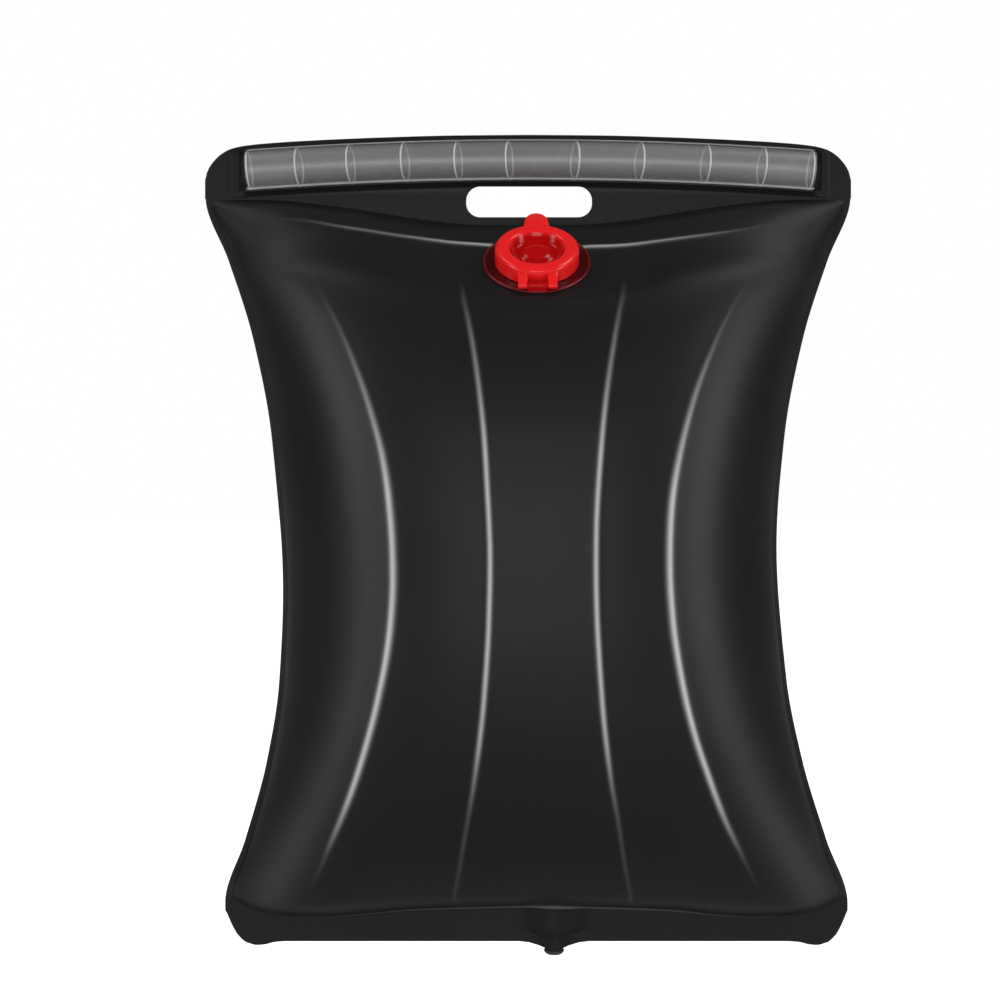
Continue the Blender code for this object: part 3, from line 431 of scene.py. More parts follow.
def band_reach():
    """How far into the welded band each column lies, from -1 at the left edge to 1 at the right."""
    inside = np.zeros(len(column_plan))
    return np.concatenate([[-b for b in BAND_STEPS[::-1]], inside, BAND_STEPS])


def row_x(shares, z):
    return middle_x(z) + shares * (half_width(z) - SIDE_WELD) + band_reach() * SIDE_WELD


def swell(x, hem_share):
    """How far the hem bulges round the outlet: over its boat-shaped base, then over the round spout."""
    to_spout = smooth_step((hem_share - SPOUT_START) / SPOUT_FADE)
    length = BOAT_HALF_LENGTH + (SPOUT_RADIUS - BOAT_HALF_LENGTH) * to_spout + OUTLET_REACH
    thickness = BOAT_HALF_THICKNESS + (SPOUT_RADIUS - BOAT_HALF_THICKNESS) * to_spout + OUTLET_ROOM
    return thickness * np.clip(1 - ((x - OUTLET_X) / length) ** 2, 0, 1) ** BOAT_POWER


def gaussian(distance, spread):
    return np.exp(-((distance / spread) ** 2))


def plain_row(x, depth, z):
    """A row of (x, depth, z, fold mask, painted light mask) with empty masks."""
    none = np.zeros(len(x))
    return x, none + depth, z, none, none


print("Columns across a film:", len(column_plan) + 2 * len(BAND_STEPS))

# %% [markdown]
# The sleeve's rows differ between the films. The front one has a low collar round the strip's opening. The
# back one runs round the tube in a pocket. The web under them is flat in both.

# %% Rows of the sleeve and the web


def collar_rows(x, flat, edge, seam):
    """Front rows from the top edge, past the strip, to the sleeve's lower seam."""
    collar = np.minimum(tube_height(x) - COLLAR_TOP, edge - POCKET_HEM)
    collar = np.maximum(collar, seam + COLLAR_LEAST)
    along = 1 - smooth_step((np.abs(x - TUBE_X) - SLEEVE_END + END_OVERLAP) / POCKET_TAPER)
    rows = []
    for k in range(SLEEVE_ROWS + 1):
        z = edge + (collar + COLLAR_LIP - edge) * k / SLEEVE_ROWS
        lip = COLLAR_RISE * along * smooth_step((k - SLEEVE_ROWS + 2) / 2)
        rows.append(plain_row(x, (flat if k else FILM_OUTSIDE) + lip, z))
    for share in (0.0, 0.25, 0.5, 0.75, 1.0):
        depth = flat + COLLAR_RISE * along * (1 - share)
        rows.append(plain_row(x, depth, collar + (seam - collar) * share))
    return rows


def pocket_rows(x, flat, edge, seam):
    """Back rows from the top edge, round the tube, to the sleeve's lower seam."""
    top, bottom = pocket_limits(x)
    full = 1 - smooth_step((np.abs(x - TUBE_X) - SLEEVE_END) / POCKET_TAPER)
    bulge = (SLEEVE_INSIDE - FILM_HALF_GAP) * full
    rows = [plain_row(x, flat, edge + (top - edge) * k / 3) for k in range(3)]
    for k in range(POCKET_STEPS + 1):
        turn = math.pi / 2 - math.pi * k / POCKET_STEPS
        height = (top + bottom) / 2 + (top - bottom) / 2 * math.sin(turn)
        rows.append(plain_row(x, flat + bulge * math.cos(turn), height))
    return rows + [plain_row(x, flat, seam)]


def web_rows(shares, flat, seam):
    """Rows from the sleeve's seam, down its small step, to the weld above the chamber."""
    weld = np.minimum(top_weld(shares), seam - WEB_STEP - FILM_HALF_GAP)
    step_end = np.maximum(seam - WEB_STEP, weld + FILM_HALF_GAP)
    rows = []
    for share in (0.25, 0.5, 0.75, 1.0):
        z = seam + (step_end - seam) * share
        rows.append(plain_row(row_x(shares, z), flat + (FILM_OUTSIDE - flat) * smooth_step(share), z))
    for k in range(1, WEB_ROWS + 1):
        z = step_end + (weld - step_end) * k / WEB_ROWS
        rows.append(plain_row(row_x(shares, z), FILM_OUTSIDE, z))
    return rows


print("Rows down the web:", WEB_ROWS, "and round the tube:", POCKET_STEPS + 1)

# %% [markdown]
# The chamber's rows carry the masks. A point's fold mask comes from its distance to the nearest crease. Its
# second mask is a painted highlight along each side roll, outside the outer folds, and painted light just
# above the bottom weld, where shade falls. Over the outlet the weld is lifted, because the film has to climb
# over the boat-shaped base.

# %% Rows of the chamber and the hem


def chamber_row(front, base, on_shoulder, offset):
    """The row at this share of the way down, bent along the shoulder's crease."""
    shares = with_band(column_shares(base))
    top = np.minimum(top_weld(shares), web_top(row_x(shares, 0.0)) - WEB_STEP - FILM_HALF_GAP)
    over_outlet = swell(row_x(shares, BOTTOM_HEM - BAG_DROP), 0.0)
    height = top - bottom_weld(shares) - OUTLET_LIFT * over_outlet
    shoulder = curve_through(SHOULDER_CREASE, shares)
    if on_shoulder:
        down = shoulder + offset / height / SHOULDER_ARC
    elif base < SHOULDER_MEAN:
        down = shoulder * base / SHOULDER_MEAN
    else:
        down = shoulder + (1 - shoulder) * (base - SHOULDER_MEAN) / (1 - SHOULDER_MEAN)
    z = top - height * np.clip(down, 0.0005, 0.9995)
    x = row_x(shares, z)
    fullness = np.maximum(chamber_depth(down, shares), over_outlet * (down > 0.5))
    depth = FILM_OUTSIDE + fullness * (np.abs(band_reach()) < 1e-9)
    if front:
        depth = np.where(down < 0.5, -flattened(x, -depth, z), depth)
    folds = np.zeros(len(x))
    for k, (_, fold, from_fold) in enumerate(column_plan, len(BAND_STEPS)):
        if fold >= 0:
            folds[k] = curve_through(LONG_STRENGTHS[fold], down[k]) * gaussian(from_fold, LONG_SPREADS[fold])
    if on_shoulder:
        strength = curve_through(SHOULDER_STRENGTH, shares)
        folds = np.maximum(folds, strength * gaussian(offset, ACROSS_SPREAD))
    # Second mask: a painted highlight along each side roll, and painted light just above the bottom weld.
    left = fold_at(OUTER_LEFT, down) - curve_through(HIGHLIGHT_OUT_LEFT, down)
    right = fold_at(OUTER_RIGHT, down) + curve_through(HIGHLIGHT_OUT_RIGHT, down)
    painted_light = np.maximum(gaussian(shares - left, HIGHLIGHT_SPREAD), gaussian(shares - right, HIGHLIGHT_SPREAD))
    painted_light_above_weld = PAINTED_LIGHT_ABOVE_WELD * smooth_step((down - ABOVE_WELD_START) / ABOVE_WELD_FADE)
    return x, depth, z, folds, np.maximum(painted_light * curve_through(HIGHLIGHT_STRENGTH, down), painted_light_above_weld)


def hem_rows(shares):
    """Rows from the weld under the chamber to the lower edge, round the outlet."""
    weld = bottom_weld(shares) + OUTLET_LIFT * swell(row_x(shares, BOTTOM_HEM - BAG_DROP), 0.0)
    bottom = bottom_edge_height(row_x(shares, BOAT_BOTTOM))
    rows = []
    for share in HEM_SHARES:
        z = weld + (bottom - weld) * share
        x = row_x(shares, z)
        folds = curve_through(BOTTOM_WELD_STRENGTH, shares) * (share < HEM_MASK_END)
        rows.append((x, FILM_OUTSIDE + swell(x, share), z, folds, np.zeros(len(x))))
    return rows


def film_rows(front):
    """All rows of a film, from the top edge to the bottom edge."""
    shares = with_band(column_shares(0.0))
    x = row_x(shares, 0.0)
    strip_end = SLEEVE_END + WINDOW_END + WINDOW_LIP + COLLAR_LEAST
    over_strip = 1 - smooth_step((np.abs(x - TUBE_X) - strip_end) / STEP_FADE)
    flat = FILM_OUTSIDE + SLEEVE_STEP * front * over_strip
    edge, seam = top_edge_height(x), web_top(x)
    rows = (collar_rows if front else pocket_rows)(x, flat, edge, seam)
    rows += web_rows(shares, flat, seam)
    rows += [chamber_row(front, *row) for row in row_plan]
    return rows + hem_rows(with_band(column_shares(1.0)))


print("Rows in the hem:", len(HEM_SHARES))

# %% [markdown]
# ## From rows to a film with thickness
#
# The rows become one grid mesh. The folds are pressed outwards along the film's own direction. Under the
# valve's flange they fade, so that nothing pokes through it. A Solidify modifier then gives the film its
# thickness on the inside. Modelling both faces by hand would need the same points twice. A third mask
# marks the front film round the strip, which is more matt than the rest and darkened by painted shade.

# %% Build a film
PAINTED_SHADE_FADE = 0.0012
PAINTED_SHADE_END_FADE = 0.006
FLANGE_MARGIN = 0.001
FLANGE_FADE = 0.004


def set_mask(mesh, name, values):
    """Keeps one value for each point, which a material reads by its name."""
    values = np.array(values, np.float32).ravel()
    mesh.attributes.new(name, "FLOAT", "POINT").data.foreach_set("value", values)


def grid_object(name, grid, masks):
    """A mesh of quads from a grid of points, with named masks on its points."""
    grid = np.array(grid)
    rows, columns = grid.shape[:2]
    index = np.arange(rows * columns).reshape(rows, columns)
    quads = np.stack([index[:-1, :-1], index[1:, :-1], index[1:, 1:], index[:-1, 1:]], axis=-1)
    mesh = bpy.data.meshes.new(name)
    mesh.from_pydata(grid.reshape(-1, 3).tolist(), [], quads.reshape(-1, 4).tolist())
    for mask_name, values in masks.items():
        set_mask(mesh, mask_name, values)
    mesh.shade_smooth()
    return place_mesh(name, mesh)


def place_mesh(name, mesh):
    made = bpy.data.objects.new(name, mesh)
    bpy.context.scene.collection.objects.link(made)
    return made


def grid_normals(grid):
    """Directions at right angles to the grid, towards the side that the rows and columns turn to."""
    down = np.gradient(grid, axis=0)
    across = np.gradient(grid, axis=1)
    normals = np.cross(down, across)
    return normals / np.maximum(np.linalg.norm(normals, axis=2, keepdims=True), 1e-12)


def add_thickness(sheet, thickness):
    step = sheet.modifiers.new("thickness", "SOLIDIFY")
    step.thickness = thickness
    step.offset = -1


def build_film(name, front):
    side = -1 if front else 1
    rows = film_rows(front)
    grid = np.array([np.stack([x, side * depth, z], axis=1) for x, depth, z, *_ in rows])
    folds, painted_light_masks = np.array([row[3] for row in rows]), np.array([row[4] for row in rows])
    normals = grid_normals(grid)
    normals *= np.sign((normals[:, :, 1:2] * side).mean())
    raised, painted_shade = folds, np.zeros(folds.shape)
    if front:
        x, z = grid[:, :, 0], grid[:, :, 2]
        # The third mask is painted shade: it darkens the front film round the strip, where the tube's shade
        # falls.
        above = smooth_step((z - web_top(x) + WEB_STEP) / PAINTED_SHADE_FADE)
        painted_shade = above * (1 - smooth_step((np.abs(x - TUBE_X) - SLEEVE_END + END_OVERLAP) / PAINTED_SHADE_END_FADE))
        from_valve = np.hypot(x - FILLER_CENTRE.x, (z - FILLER_CENTRE.z) / math.cos(FILLER_TILT))
        raised = folds * smooth_step((from_valve - FLANGE_RADIUS - FLANGE_MARGIN) / FLANGE_FADE)
    grid = grid + normals * (raised**0.5 * FOLD_HEIGHT)[:, :, None] * (raised > 0.001)[:, :, None]
    if not front:
        grid, folds, painted_light_masks = grid[:, ::-1], folds[:, ::-1], painted_light_masks[:, ::-1]
    # Masks: paler folds, partly a painted highlight; painted highlights on the rolls and painted light above
    # the bottom weld; painted shade round the strip.
    film = grid_object(name, grid, {"fold": folds, "painted_light": painted_light_masks, "seam": painted_shade})
    add_thickness(film, FILM_THICKNESS)
    return film


front_film = build_film("front_film", True)
back_film = build_film("back_film", False)
print("Points in the front film:", len(front_film.data.vertices))

# %% [markdown]
# ## Cutting the hand slot and the openings
#
# The hand slot goes through both films, the see-through strip shows through an opening in the front one,
# and the valve's neck needs a round hole. All three are punched out of flat film on the real bag. A
# Boolean modifier with a plain prism does the same here, and its edges come out clean.

# %% Cut through the films
SLOT_LEFT, SLOT_RIGHT, SLOT_HEIGHT, SLOT_RADIUS = -0.042, 0.0435, 0.021, 0.0095
CUTTER_REACH = 0.006
NECK_BORE = 0.0204
HOLE_ROOM = 0.0008


def arc(centre_x, centre_y, radius, start_deg, end_deg, steps):
    turns = np.radians(np.linspace(start_deg, end_deg, steps + 1))
    return [(centre_x + radius * math.cos(turn), centre_y + radius * math.sin(turn)) for turn in turns]


def circle(radius, steps):
    return arc(0, 0, radius, 0, 360, steps)[:-1]


def solid_object(name, points, faces):
    """A closed mesh whose faces point outwards."""
    mesh = bpy.data.meshes.new(name)
    mesh.from_pydata([tuple(point) for point in points], [], faces)
    shape = bmesh.new()
    shape.from_mesh(mesh)
    bmesh.ops.remove_doubles(shape, verts=shape.verts, dist=1e-6)
    bmesh.ops.recalc_face_normals(shape, faces=shape.faces)
    if shape.calc_volume(signed=True) < 0:
        bmesh.ops.reverse_faces(shape, faces=shape.faces)
    shape.to_mesh(mesh)
    shape.free()
    return place_mesh(name, mesh)


def prism(outline, low, high):
    """Points and faces of an outline of points, pushed from one offset to another."""
    count = len(outline)
    points = [point + low for point in outline] + [point + high for point in outline]
    faces = [list(range(count))[::-1], list(range(count, 2 * count))]
    faces += [[i, (i + 1) % count, count + (i + 1) % count, count + i] for i in range(count)]
    return points, faces


def apply_modifiers(piece):
    """Keeps the mesh that the modifiers make, so that what follows works on real faces."""
    mesh = bpy.data.meshes.new_from_object(piece.evaluated_get(bpy.context.evaluated_depsgraph_get()))
    piece.modifiers.clear()
    piece.data = mesh


def join_piece(piece, other, operation):
    """Adds or cuts another piece, applies it at once and removes the other."""
    step = piece.modifiers.new("joined", "BOOLEAN")
    step.operation = operation
    step.object = other
    step.solver = "EXACT"
    apply_modifiers(piece)
    bpy.data.objects.remove(other, do_unlink=True)


def join_shape(piece, shape, operation):
    join_piece(piece, solid_object(piece.name + "_helper", *shape), operation)


def on_filler(shape):
    """A shape given as (across, down the film, out of it), moved to the valve's place."""
    points, faces = shape
    across = Vector((1, 0, 0))
    return [FILLER_CENTRE + across * p[0] + FILLER_DOWN * p[1] + FILLER_OUT * p[2] for p in points], faces


slot = []
slot_sides = (SLOT_RIGHT - SLOT_RADIUS, SLOT_LEFT + SLOT_RADIUS)
slot_ends = (-SLOT_RADIUS, SLOT_RADIUS - SLOT_HEIGHT)
for quarter, (side, end) in enumerate(((0, 0), (1, 0), (1, 1), (0, 1))):
    slot += arc(slot_sides[side], slot_ends[end], SLOT_RADIUS, 90 * quarter, 90 * quarter + 90, 14)
through = Vector((0, CUTTER_REACH, 0))
slot_prism = prism([Vector((x, 0, z)) for x, z in slot], -through, through)
print("The hand slot in mm:", round(1000 * (SLOT_RIGHT - SLOT_LEFT), 1), "by", round(1000 * SLOT_HEIGHT, 1))

# %% [markdown]
# ## The see-through strip
#
# The strip is a thin half round over the tube, with a flat lip that is welded behind the front film. It
# runs along a list of stations. At each one the cross section keeps its bow, and past the tube's ends it
# flattens down to the lip.

# %% Stations of the strip, and the opening for it
STRIP_END = ((0.0, 1.0, 1.0), (0.3, 0.9, 0.99), (0.7, 0.6, 0.95), (1.0, 0.0, 0.9))
STRIP_STEPS = 90
STRIP_END_STEPS = 10


def strip_stations():
    """Along the strip: distance from the middle, share of the bow, share of the height."""
    middle = [(SLEEVE_END * k / STRIP_STEPS, 1.0, 1.0) for k in range(STRIP_STEPS + 1)]
    ends = np.linspace(0, 1, STRIP_END_STEPS + 1)[1:]
    bows = np.interp(ends, *np.array(STRIP_END).T[:2])
    heights = np.interp(ends, *np.array(STRIP_END).T[::2])
    half = middle + [(SLEEVE_END + WINDOW_END * end, bow, up) for end, bow, up in zip(ends, bows, heights)]
    return [(-along, bow, up) for along, bow, up in half[:0:-1]] + half


def strip_opening():
    radius = SLEEVE_INSIDE + WINDOW_THICKNESS + OPENING_ROOM
    stretch = 1 + OPENING_ROOM / (SLEEVE_END + WINDOW_END)
    upper, lower = [], []
    for along, _, up in strip_stations():
        x = TUBE_X + along * stretch
        upper.append(Vector((x, 0, tube_height(x) + radius * up)))
        lower.append(Vector((x, 0, tube_height(x) - radius * up)))
    return upper + lower[::-1]


for film in (front_film, back_film):
    apply_modifiers(film)
    join_shape(film, slot_prism, "DIFFERENCE")
join_shape(front_film, prism(strip_opening(), -through, Vector((0, 0, 0))), "DIFFERENCE")
neck_hole = [Vector((x, y, 0)) for x, y in circle(NECK_BORE + HOLE_ROOM, 96)]
outwards = Vector((0, 0, CUTTER_REACH))
join_shape(front_film, on_filler(prism(neck_hole, -outwards, outwards)), "DIFFERENCE")
for film in (front_film, back_film):
    film.data.set_sharp_from_angle(angle=math.radians(40))
print("Faces in the front film after cutting:", len(front_film.data.polygons))

# %% [markdown]
# The strip's own mesh is a grid again. A mask marks two milky lines along the tube's upper and lower side,
# partly heat welds and partly a painted highlight of the tube's rim. They are what the eye reads as the
# tube's outline. A second mask halves the strip's haze past the tube's ends, where only the background lies
# behind it.

# %% Build the strip
STRIP_ANGLES = np.arange(-84, 85, 3)
WELD_HIGHLIGHT_ANGLE = 71
WELD_HIGHLIGHT_SPREAD = 5


def build_strip():
    radius = SLEEVE_INSIDE + WINDOW_THICKNESS
    lip_y = FILM_HALF_GAP + WINDOW_THICKNESS
    foot = WINDOW_LIP * 0.15
    stations = strip_stations()
    first, last = stations[0], stations[-1]
    stations = [(first[0] - WINDOW_LIP, *first[1:])] + stations + [(last[0] + WINDOW_LIP, *last[1:])]
    # Milky lines at the tube's upper and lower side: partly heat welds, partly a painted highlight of the
    # tube's rim.
    lines = gaussian(np.abs(STRIP_ANGLES) - WELD_HIGHLIGHT_ANGLE, WELD_HIGHLIGHT_SPREAD)
    grid, weld_and_rim_highlights, over_tube = [], [], []
    for along, bow, up in stations:
        x = TUBE_X + along
        room = float(top_edge_height(x) - tube_height(x)) - POCKET_HEM / 2
        row = [(lip_y, -radius * up - WINDOW_LIP), (lip_y, -radius * up - foot)]
        for angle in np.radians(STRIP_ANGLES):
            out = lip_y + max(0.0, radius * math.cos(angle) - lip_y) * bow
            row.append((out, min(radius * math.sin(angle) * up, room - WINDOW_LIP / 2)))
        row += [(lip_y, min(radius * up + foot, room - foot)), (lip_y, min(radius * up + WINDOW_LIP, room))]
        grid.append([(x, -out, float(tube_height(x)) + height) for out, height in row])
        covers = abs(along) < TUBE_HALF_LENGTH
        weld_and_rim_highlights.append(np.concatenate([[0.0, 0.3], lines, [0.3, 0.0]]) * covers)
        over_tube.append(np.full(len(row), 1.0 if covers else 0.5))
    strip = grid_object("sleeve_strip", grid, {"weld_and_rim_highlight": weld_and_rim_highlights, "over_tube": over_tube})
    add_thickness(strip, WINDOW_THICKNESS)
    apply_modifiers(strip)
    return strip


strip = build_strip()
strip_low = min(corner[1] for corner in strip.bound_box)
print("The strip stands out in mm:", round(-1000 * strip_low, 1))

# %% [markdown]
# ## The handle tube
#
# A stiff translucent tube with raised rings. One ring of points per station makes the outside, and a
# second set of stations comes back along the bore, so the wall is real and shows at the ends. The rings
# lean a little, so that each one is seen as a narrow ellipse.

# %% Build the tube
RING_PLACES = (-0.992, -0.817, -0.634, -0.442, -0.254, -0.0735, 0.158, 0.386, 0.619, 0.818, 0.99)
RING_HEIGHT = 0.0003
RING_HALF_WIDTH = 0.0005
RING_EDGE = 1.1
RING_FADE = (-0.6, 0.2)
RING_STEPS = (-1.6, -1.1, -0.8, -0.4, 0.0, 0.4, 0.8, 1.1, 1.6)
TUBE_WALL = 0.0012
TUBE_SIDES = 72
TUBE_STEPS = 121
RING_LEAN = math.tan(math.radians(12))
NEAR_RING = 0.6
LEAN_TURNS_OVER = 0.01


def tube_stations():
    """Along the tube and back through its bore: place, radius, and how much of a ring is there."""
    outside = []
    for place in np.linspace(-TUBE_HALF_LENGTH, TUBE_HALF_LENGTH, TUBE_STEPS):
        from_ring = min(abs(place - share * TUBE_HALF_LENGTH) for share in RING_PLACES)
        if from_ring > 2 * RING_EDGE * RING_HALF_WIDTH:
            outside.append((place, TUBE_RADIUS, 0.0))
    outside += [(-TUBE_HALF_LENGTH, TUBE_RADIUS, 0.0), (TUBE_HALF_LENGTH, TUBE_RADIUS, 0.0)]
    for share in RING_PLACES:
        for step in RING_STEPS:
            place = share * TUBE_HALF_LENGTH + step * RING_HALF_WIDTH
            if abs(place) < TUBE_HALF_LENGTH:
                height = max(0.0, 1 - (step / RING_EDGE) ** 2)
                outside.append((place, TUBE_RADIUS + RING_HEIGHT * height**0.5, float(abs(step) <= 0.8)))
    outside = sorted(set(outside))
    bore = [(place, TUBE_RADIUS - TUBE_WALL, ring) for place, _, ring in outside[::-1]]
    return outside + bore


def ring_lean(place):
    """How far a ring leans forwards at this place: most near the middle, nothing at the ends."""
    towards_end = np.clip(place / LEAN_TURNS_OVER, -1, 1)
    return RING_LEAN * towards_end * math.sqrt(max(0.0, 1 - (place / TUBE_HALF_LENGTH) ** 2))


def build_tube():
    points, rings = [], []
    stations = tube_stations()
    for place, radius, ring in stations:
        slope = -2 * TUBE_SAG * place / TUBE_HALF_LENGTH**2
        up = Vector((-slope, 0, 1)).normalized()
        centre = Vector((TUBE_X + place, 0, float(tube_height(TUBE_X + place))))
        for y, z in circle(radius, TUBE_SIDES):
            points.append(centre + up * z + Vector((-y * ring_lean(place), y, 0)))
            rings.append(ring * np.interp(y / TUBE_RADIUS, RING_FADE, (NEAR_RING, 1.0)))
    faces = []
    for i in range(len(stations)):
        a, b = i * TUBE_SIDES, (i + 1) % len(stations) * TUBE_SIDES
        faces += [[a + k, a + (k + 1) % TUBE_SIDES, b + (k + 1) % TUBE_SIDES, b + k] for k in range(TUBE_SIDES)]
    mesh = bpy.data.meshes.new("ringed_tube")
    mesh.from_pydata([tuple(point) for point in points], [], faces)
    set_mask(mesh, "ring", rings)
    set_mask(mesh, "bore", np.repeat([float(radius < TUBE_RADIUS) for _, radius, _ in stations], TUBE_SIDES))
    shape = bmesh.new()
    shape.from_mesh(mesh)
    bmesh.ops.recalc_face_normals(shape, faces=shape.faces)
    shape.to_mesh(mesh)
    shape.free()
    mesh.shade_smooth()
    mesh.set_sharp_from_angle(angle=math.radians(50))
    return place_mesh("ringed_tube", mesh)


tube = build_tube()
print("Rings on the tube:", len(RING_PLACES))

# %% [markdown]
# ## Turned parts
#
# The valve is moulded round, so most of it is one outline turned about its axis. Corners get a real
# radius here, a few points each, because a moulded edge that catches the light is half of what makes
# plastic look like plastic.

# %% Turn an outline round the valve's axis
SOFT_EDGE_DEG = 50
MOULDED_EDGE_DEG = 38


def rounded(corners, steps=4):
    """An outline of (radius, height, corner radius), with each corner replaced by a short arc."""
    outline = []
    for i, (r, h, round_off) in enumerate(corners):
        here = Vector((r, h))
        before = Vector(corners[i - 1][:2]) - here
        after = Vector(corners[(i + 1) % len(corners)][:2]) - here
        reach = min(round_off, before.length * 0.49, after.length * 0.49)
        if i in (0, len(corners) - 1) or reach <= 0:
            outline.append((r, h))
            continue
        start, end = here + before.normalized() * reach, here + after.normalized() * reach
        for k in range(steps + 1):
            t = k / steps
            point = start * (1 - t) ** 2 + here * 2 * t * (1 - t) + end * t * t
            outline.append((point.x, point.y))
    return outline


def turned(profile, steps=144):
    """Points and faces of a closed outline of (radius, height), turned once round the height axis."""
    points, rings = [], []
    for radius, height in profile:
        sides = steps if radius > 1e-9 else 1
        rings.append([len(points) + k % sides for k in range(steps)])
        for k in range(sides):
            turn = 2 * math.pi * k / steps
            points.append(Vector((radius * math.cos(turn), radius * math.sin(turn), height)))
    faces = []
    for a, b in zip(rings, rings[1:] + rings[:1]):
        for k in range(steps):
            corners = list(dict.fromkeys((a[k], a[(k + 1) % steps], b[(k + 1) % steps], b[k])))
            if len(corners) > 2:
                faces.append(corners)
    return points, faces


def smooth(piece, edge_deg):
    piece.data.shade_smooth()
    piece.data.set_sharp_from_angle(angle=math.radians(edge_deg))


def finish_edges(piece, width=0.00025, angle_deg=35):
    """A small bevel on every sharp edge, as a mould leaves it."""
    bevel = piece.modifiers.new("edges", "BEVEL")
    bevel.width = width
    bevel.segments = 2
    bevel.limit_method = "ANGLE"
    bevel.angle_limit = math.radians(angle_deg)
    bevel.use_clamp_overlap = True
    apply_modifiers(piece)
    smooth(piece, MOULDED_EDGE_DEG)


def valve_place(point):
    """Distance from the valve's axis, and height along it."""
    from_centre = point - FILLER_CENTRE
    height = from_centre.dot(FILLER_OUT)
    return (from_centre - FILLER_OUT * height).length, height


print("Faces of a turned triangle:", len(turned([(1, 0), (2, 0), (2, 1)])[1]))

# %% [markdown]
# ## The valve's base
#
# The flange is a thin disc of soft red plastic, welded on the film, with a fine bead round its rim. The
# black film shows through it, so it looks dark. The neck on it is thicker and plain red, and carries the
# hinge's lug and pin. They are made as two pieces here, because they need two finishes.

# %% Build the flange, the neck and the lug
FLANGE_LIFT = 0.0004
FLANGE_TOP = 0.0016
RIM_BEAD = 0.00035
RIM_WIDTH = 0.0013
NECK_RADIUS = 0.0222
NECK_TOP = 0.0109
HINGE_REACH = 0.032
HINGE_HEIGHT = 0.0047
LUG_HALF_WIDTH = 0.00625
LUG_RADIUS = 0.0021
LUG_HALF_FOOT = 0.0026
LUG_SINK = 0.0004
PIN_RADIUS = 0.0012
PIN_HALF_LENGTH = 0.0107

flange_profile = [
    (NECK_RADIUS - 0.0003, FLANGE_LIFT, 0),
    (FLANGE_RADIUS, FLANGE_LIFT, 0.0002),
    (FLANGE_RADIUS, FLANGE_TOP + RIM_BEAD, 0.0005),
    (FLANGE_RADIUS - 0.0014, FLANGE_TOP + RIM_BEAD, 0.0005),
    (FLANGE_RADIUS - 0.0016, FLANGE_TOP - 0.0001, 0.0003),
    (NECK_RADIUS + 0.0012, FLANGE_TOP, 0.0006),
    (NECK_RADIUS - 0.0003, FLANGE_TOP + 0.001, 0),
]
flange = solid_object("valve_flange", *on_filler(turned(rounded(flange_profile))))
smooth(flange, SOFT_EDGE_DEG)
on_rim = [float(valve_place(vertex.co)[0] > FLANGE_RADIUS - RIM_WIDTH) for vertex in flange.data.vertices]
set_mask(flange.data, "rim", on_rim)

neck_profile = [
    (NECK_BORE, FLANGE_LIFT, 0),
    (NECK_RADIUS, FLANGE_LIFT, 0),
    (NECK_RADIUS, NECK_TOP - 0.0022, 0.0003),
    (NECK_RADIUS + 0.0004, NECK_TOP - 0.0018, 0.0003),
    (NECK_RADIUS + 0.0004, NECK_TOP - 0.0013, 0.0003),
    (NECK_RADIUS - 0.0004, NECK_TOP, 0.0004),
    (NECK_BORE, NECK_TOP, 0),
]
neck = solid_object("valve_neck", *on_filler(turned(rounded(neck_profile))))
finish_edges(neck, 0.0001)


def across_valve(outline, half_width):
    """A prism across the valve, from an outline of (distance down the film, height)."""
    side = Vector((half_width, 0, 0))
    return on_filler(prism([Vector((0, reach, up)) for reach, up in outline], -side, side))


def hinge_circle(radius, steps):
    return arc(HINGE_REACH, HINGE_HEIGHT, radius, 0, 360, steps)[:-1]


lug_foot = FLANGE_TOP - LUG_SINK
lug_outline = [(HINGE_REACH + LUG_HALF_FOOT, lug_foot), (HINGE_REACH - LUG_HALF_FOOT, lug_foot)]
lug_outline += arc(HINGE_REACH, HINGE_HEIGHT, LUG_RADIUS, 180, 0, 20)
lug = solid_object("hinge_lug", *across_valve(lug_outline, LUG_HALF_WIDTH))
join_shape(lug, across_valve(hinge_circle(PIN_RADIUS, 32), PIN_HALF_LENGTH), "UNION")
finish_edges(lug)
print("Points in the neck:", len(neck.data.vertices))

# %% [markdown]
# ## The valve's lid
#
# The lid is the bag's most worked part. It has a sunk well with a raised button in it, a skirt that comes
# down nearly to the flange, and under it a snap ring and a plug that seals in the neck. The pull tab is
# on the upper side and the two hinge ears are on the lower side.

# %% Build the lid
CAP_RADIUS = 0.0276
CAP_TOP = 0.013
SKIRT_BOTTOM = 0.002
SKIRT_INSIDE = 0.0261
PLATE_UNDERSIDE = 0.0112
WELL_RADIUS = 0.0176
WELL_FLOOR = 0.0072
BUTTON_RADIUS = 0.0105
BUTTON_TOP = 0.0106
SNAP_RADIUS, SNAP_INSIDE, SNAP_BOTTOM = 0.0245, 0.0232, 0.0052
PLUG_RADIUS = 0.0199
PLUG_BOTTOM = 0.0056

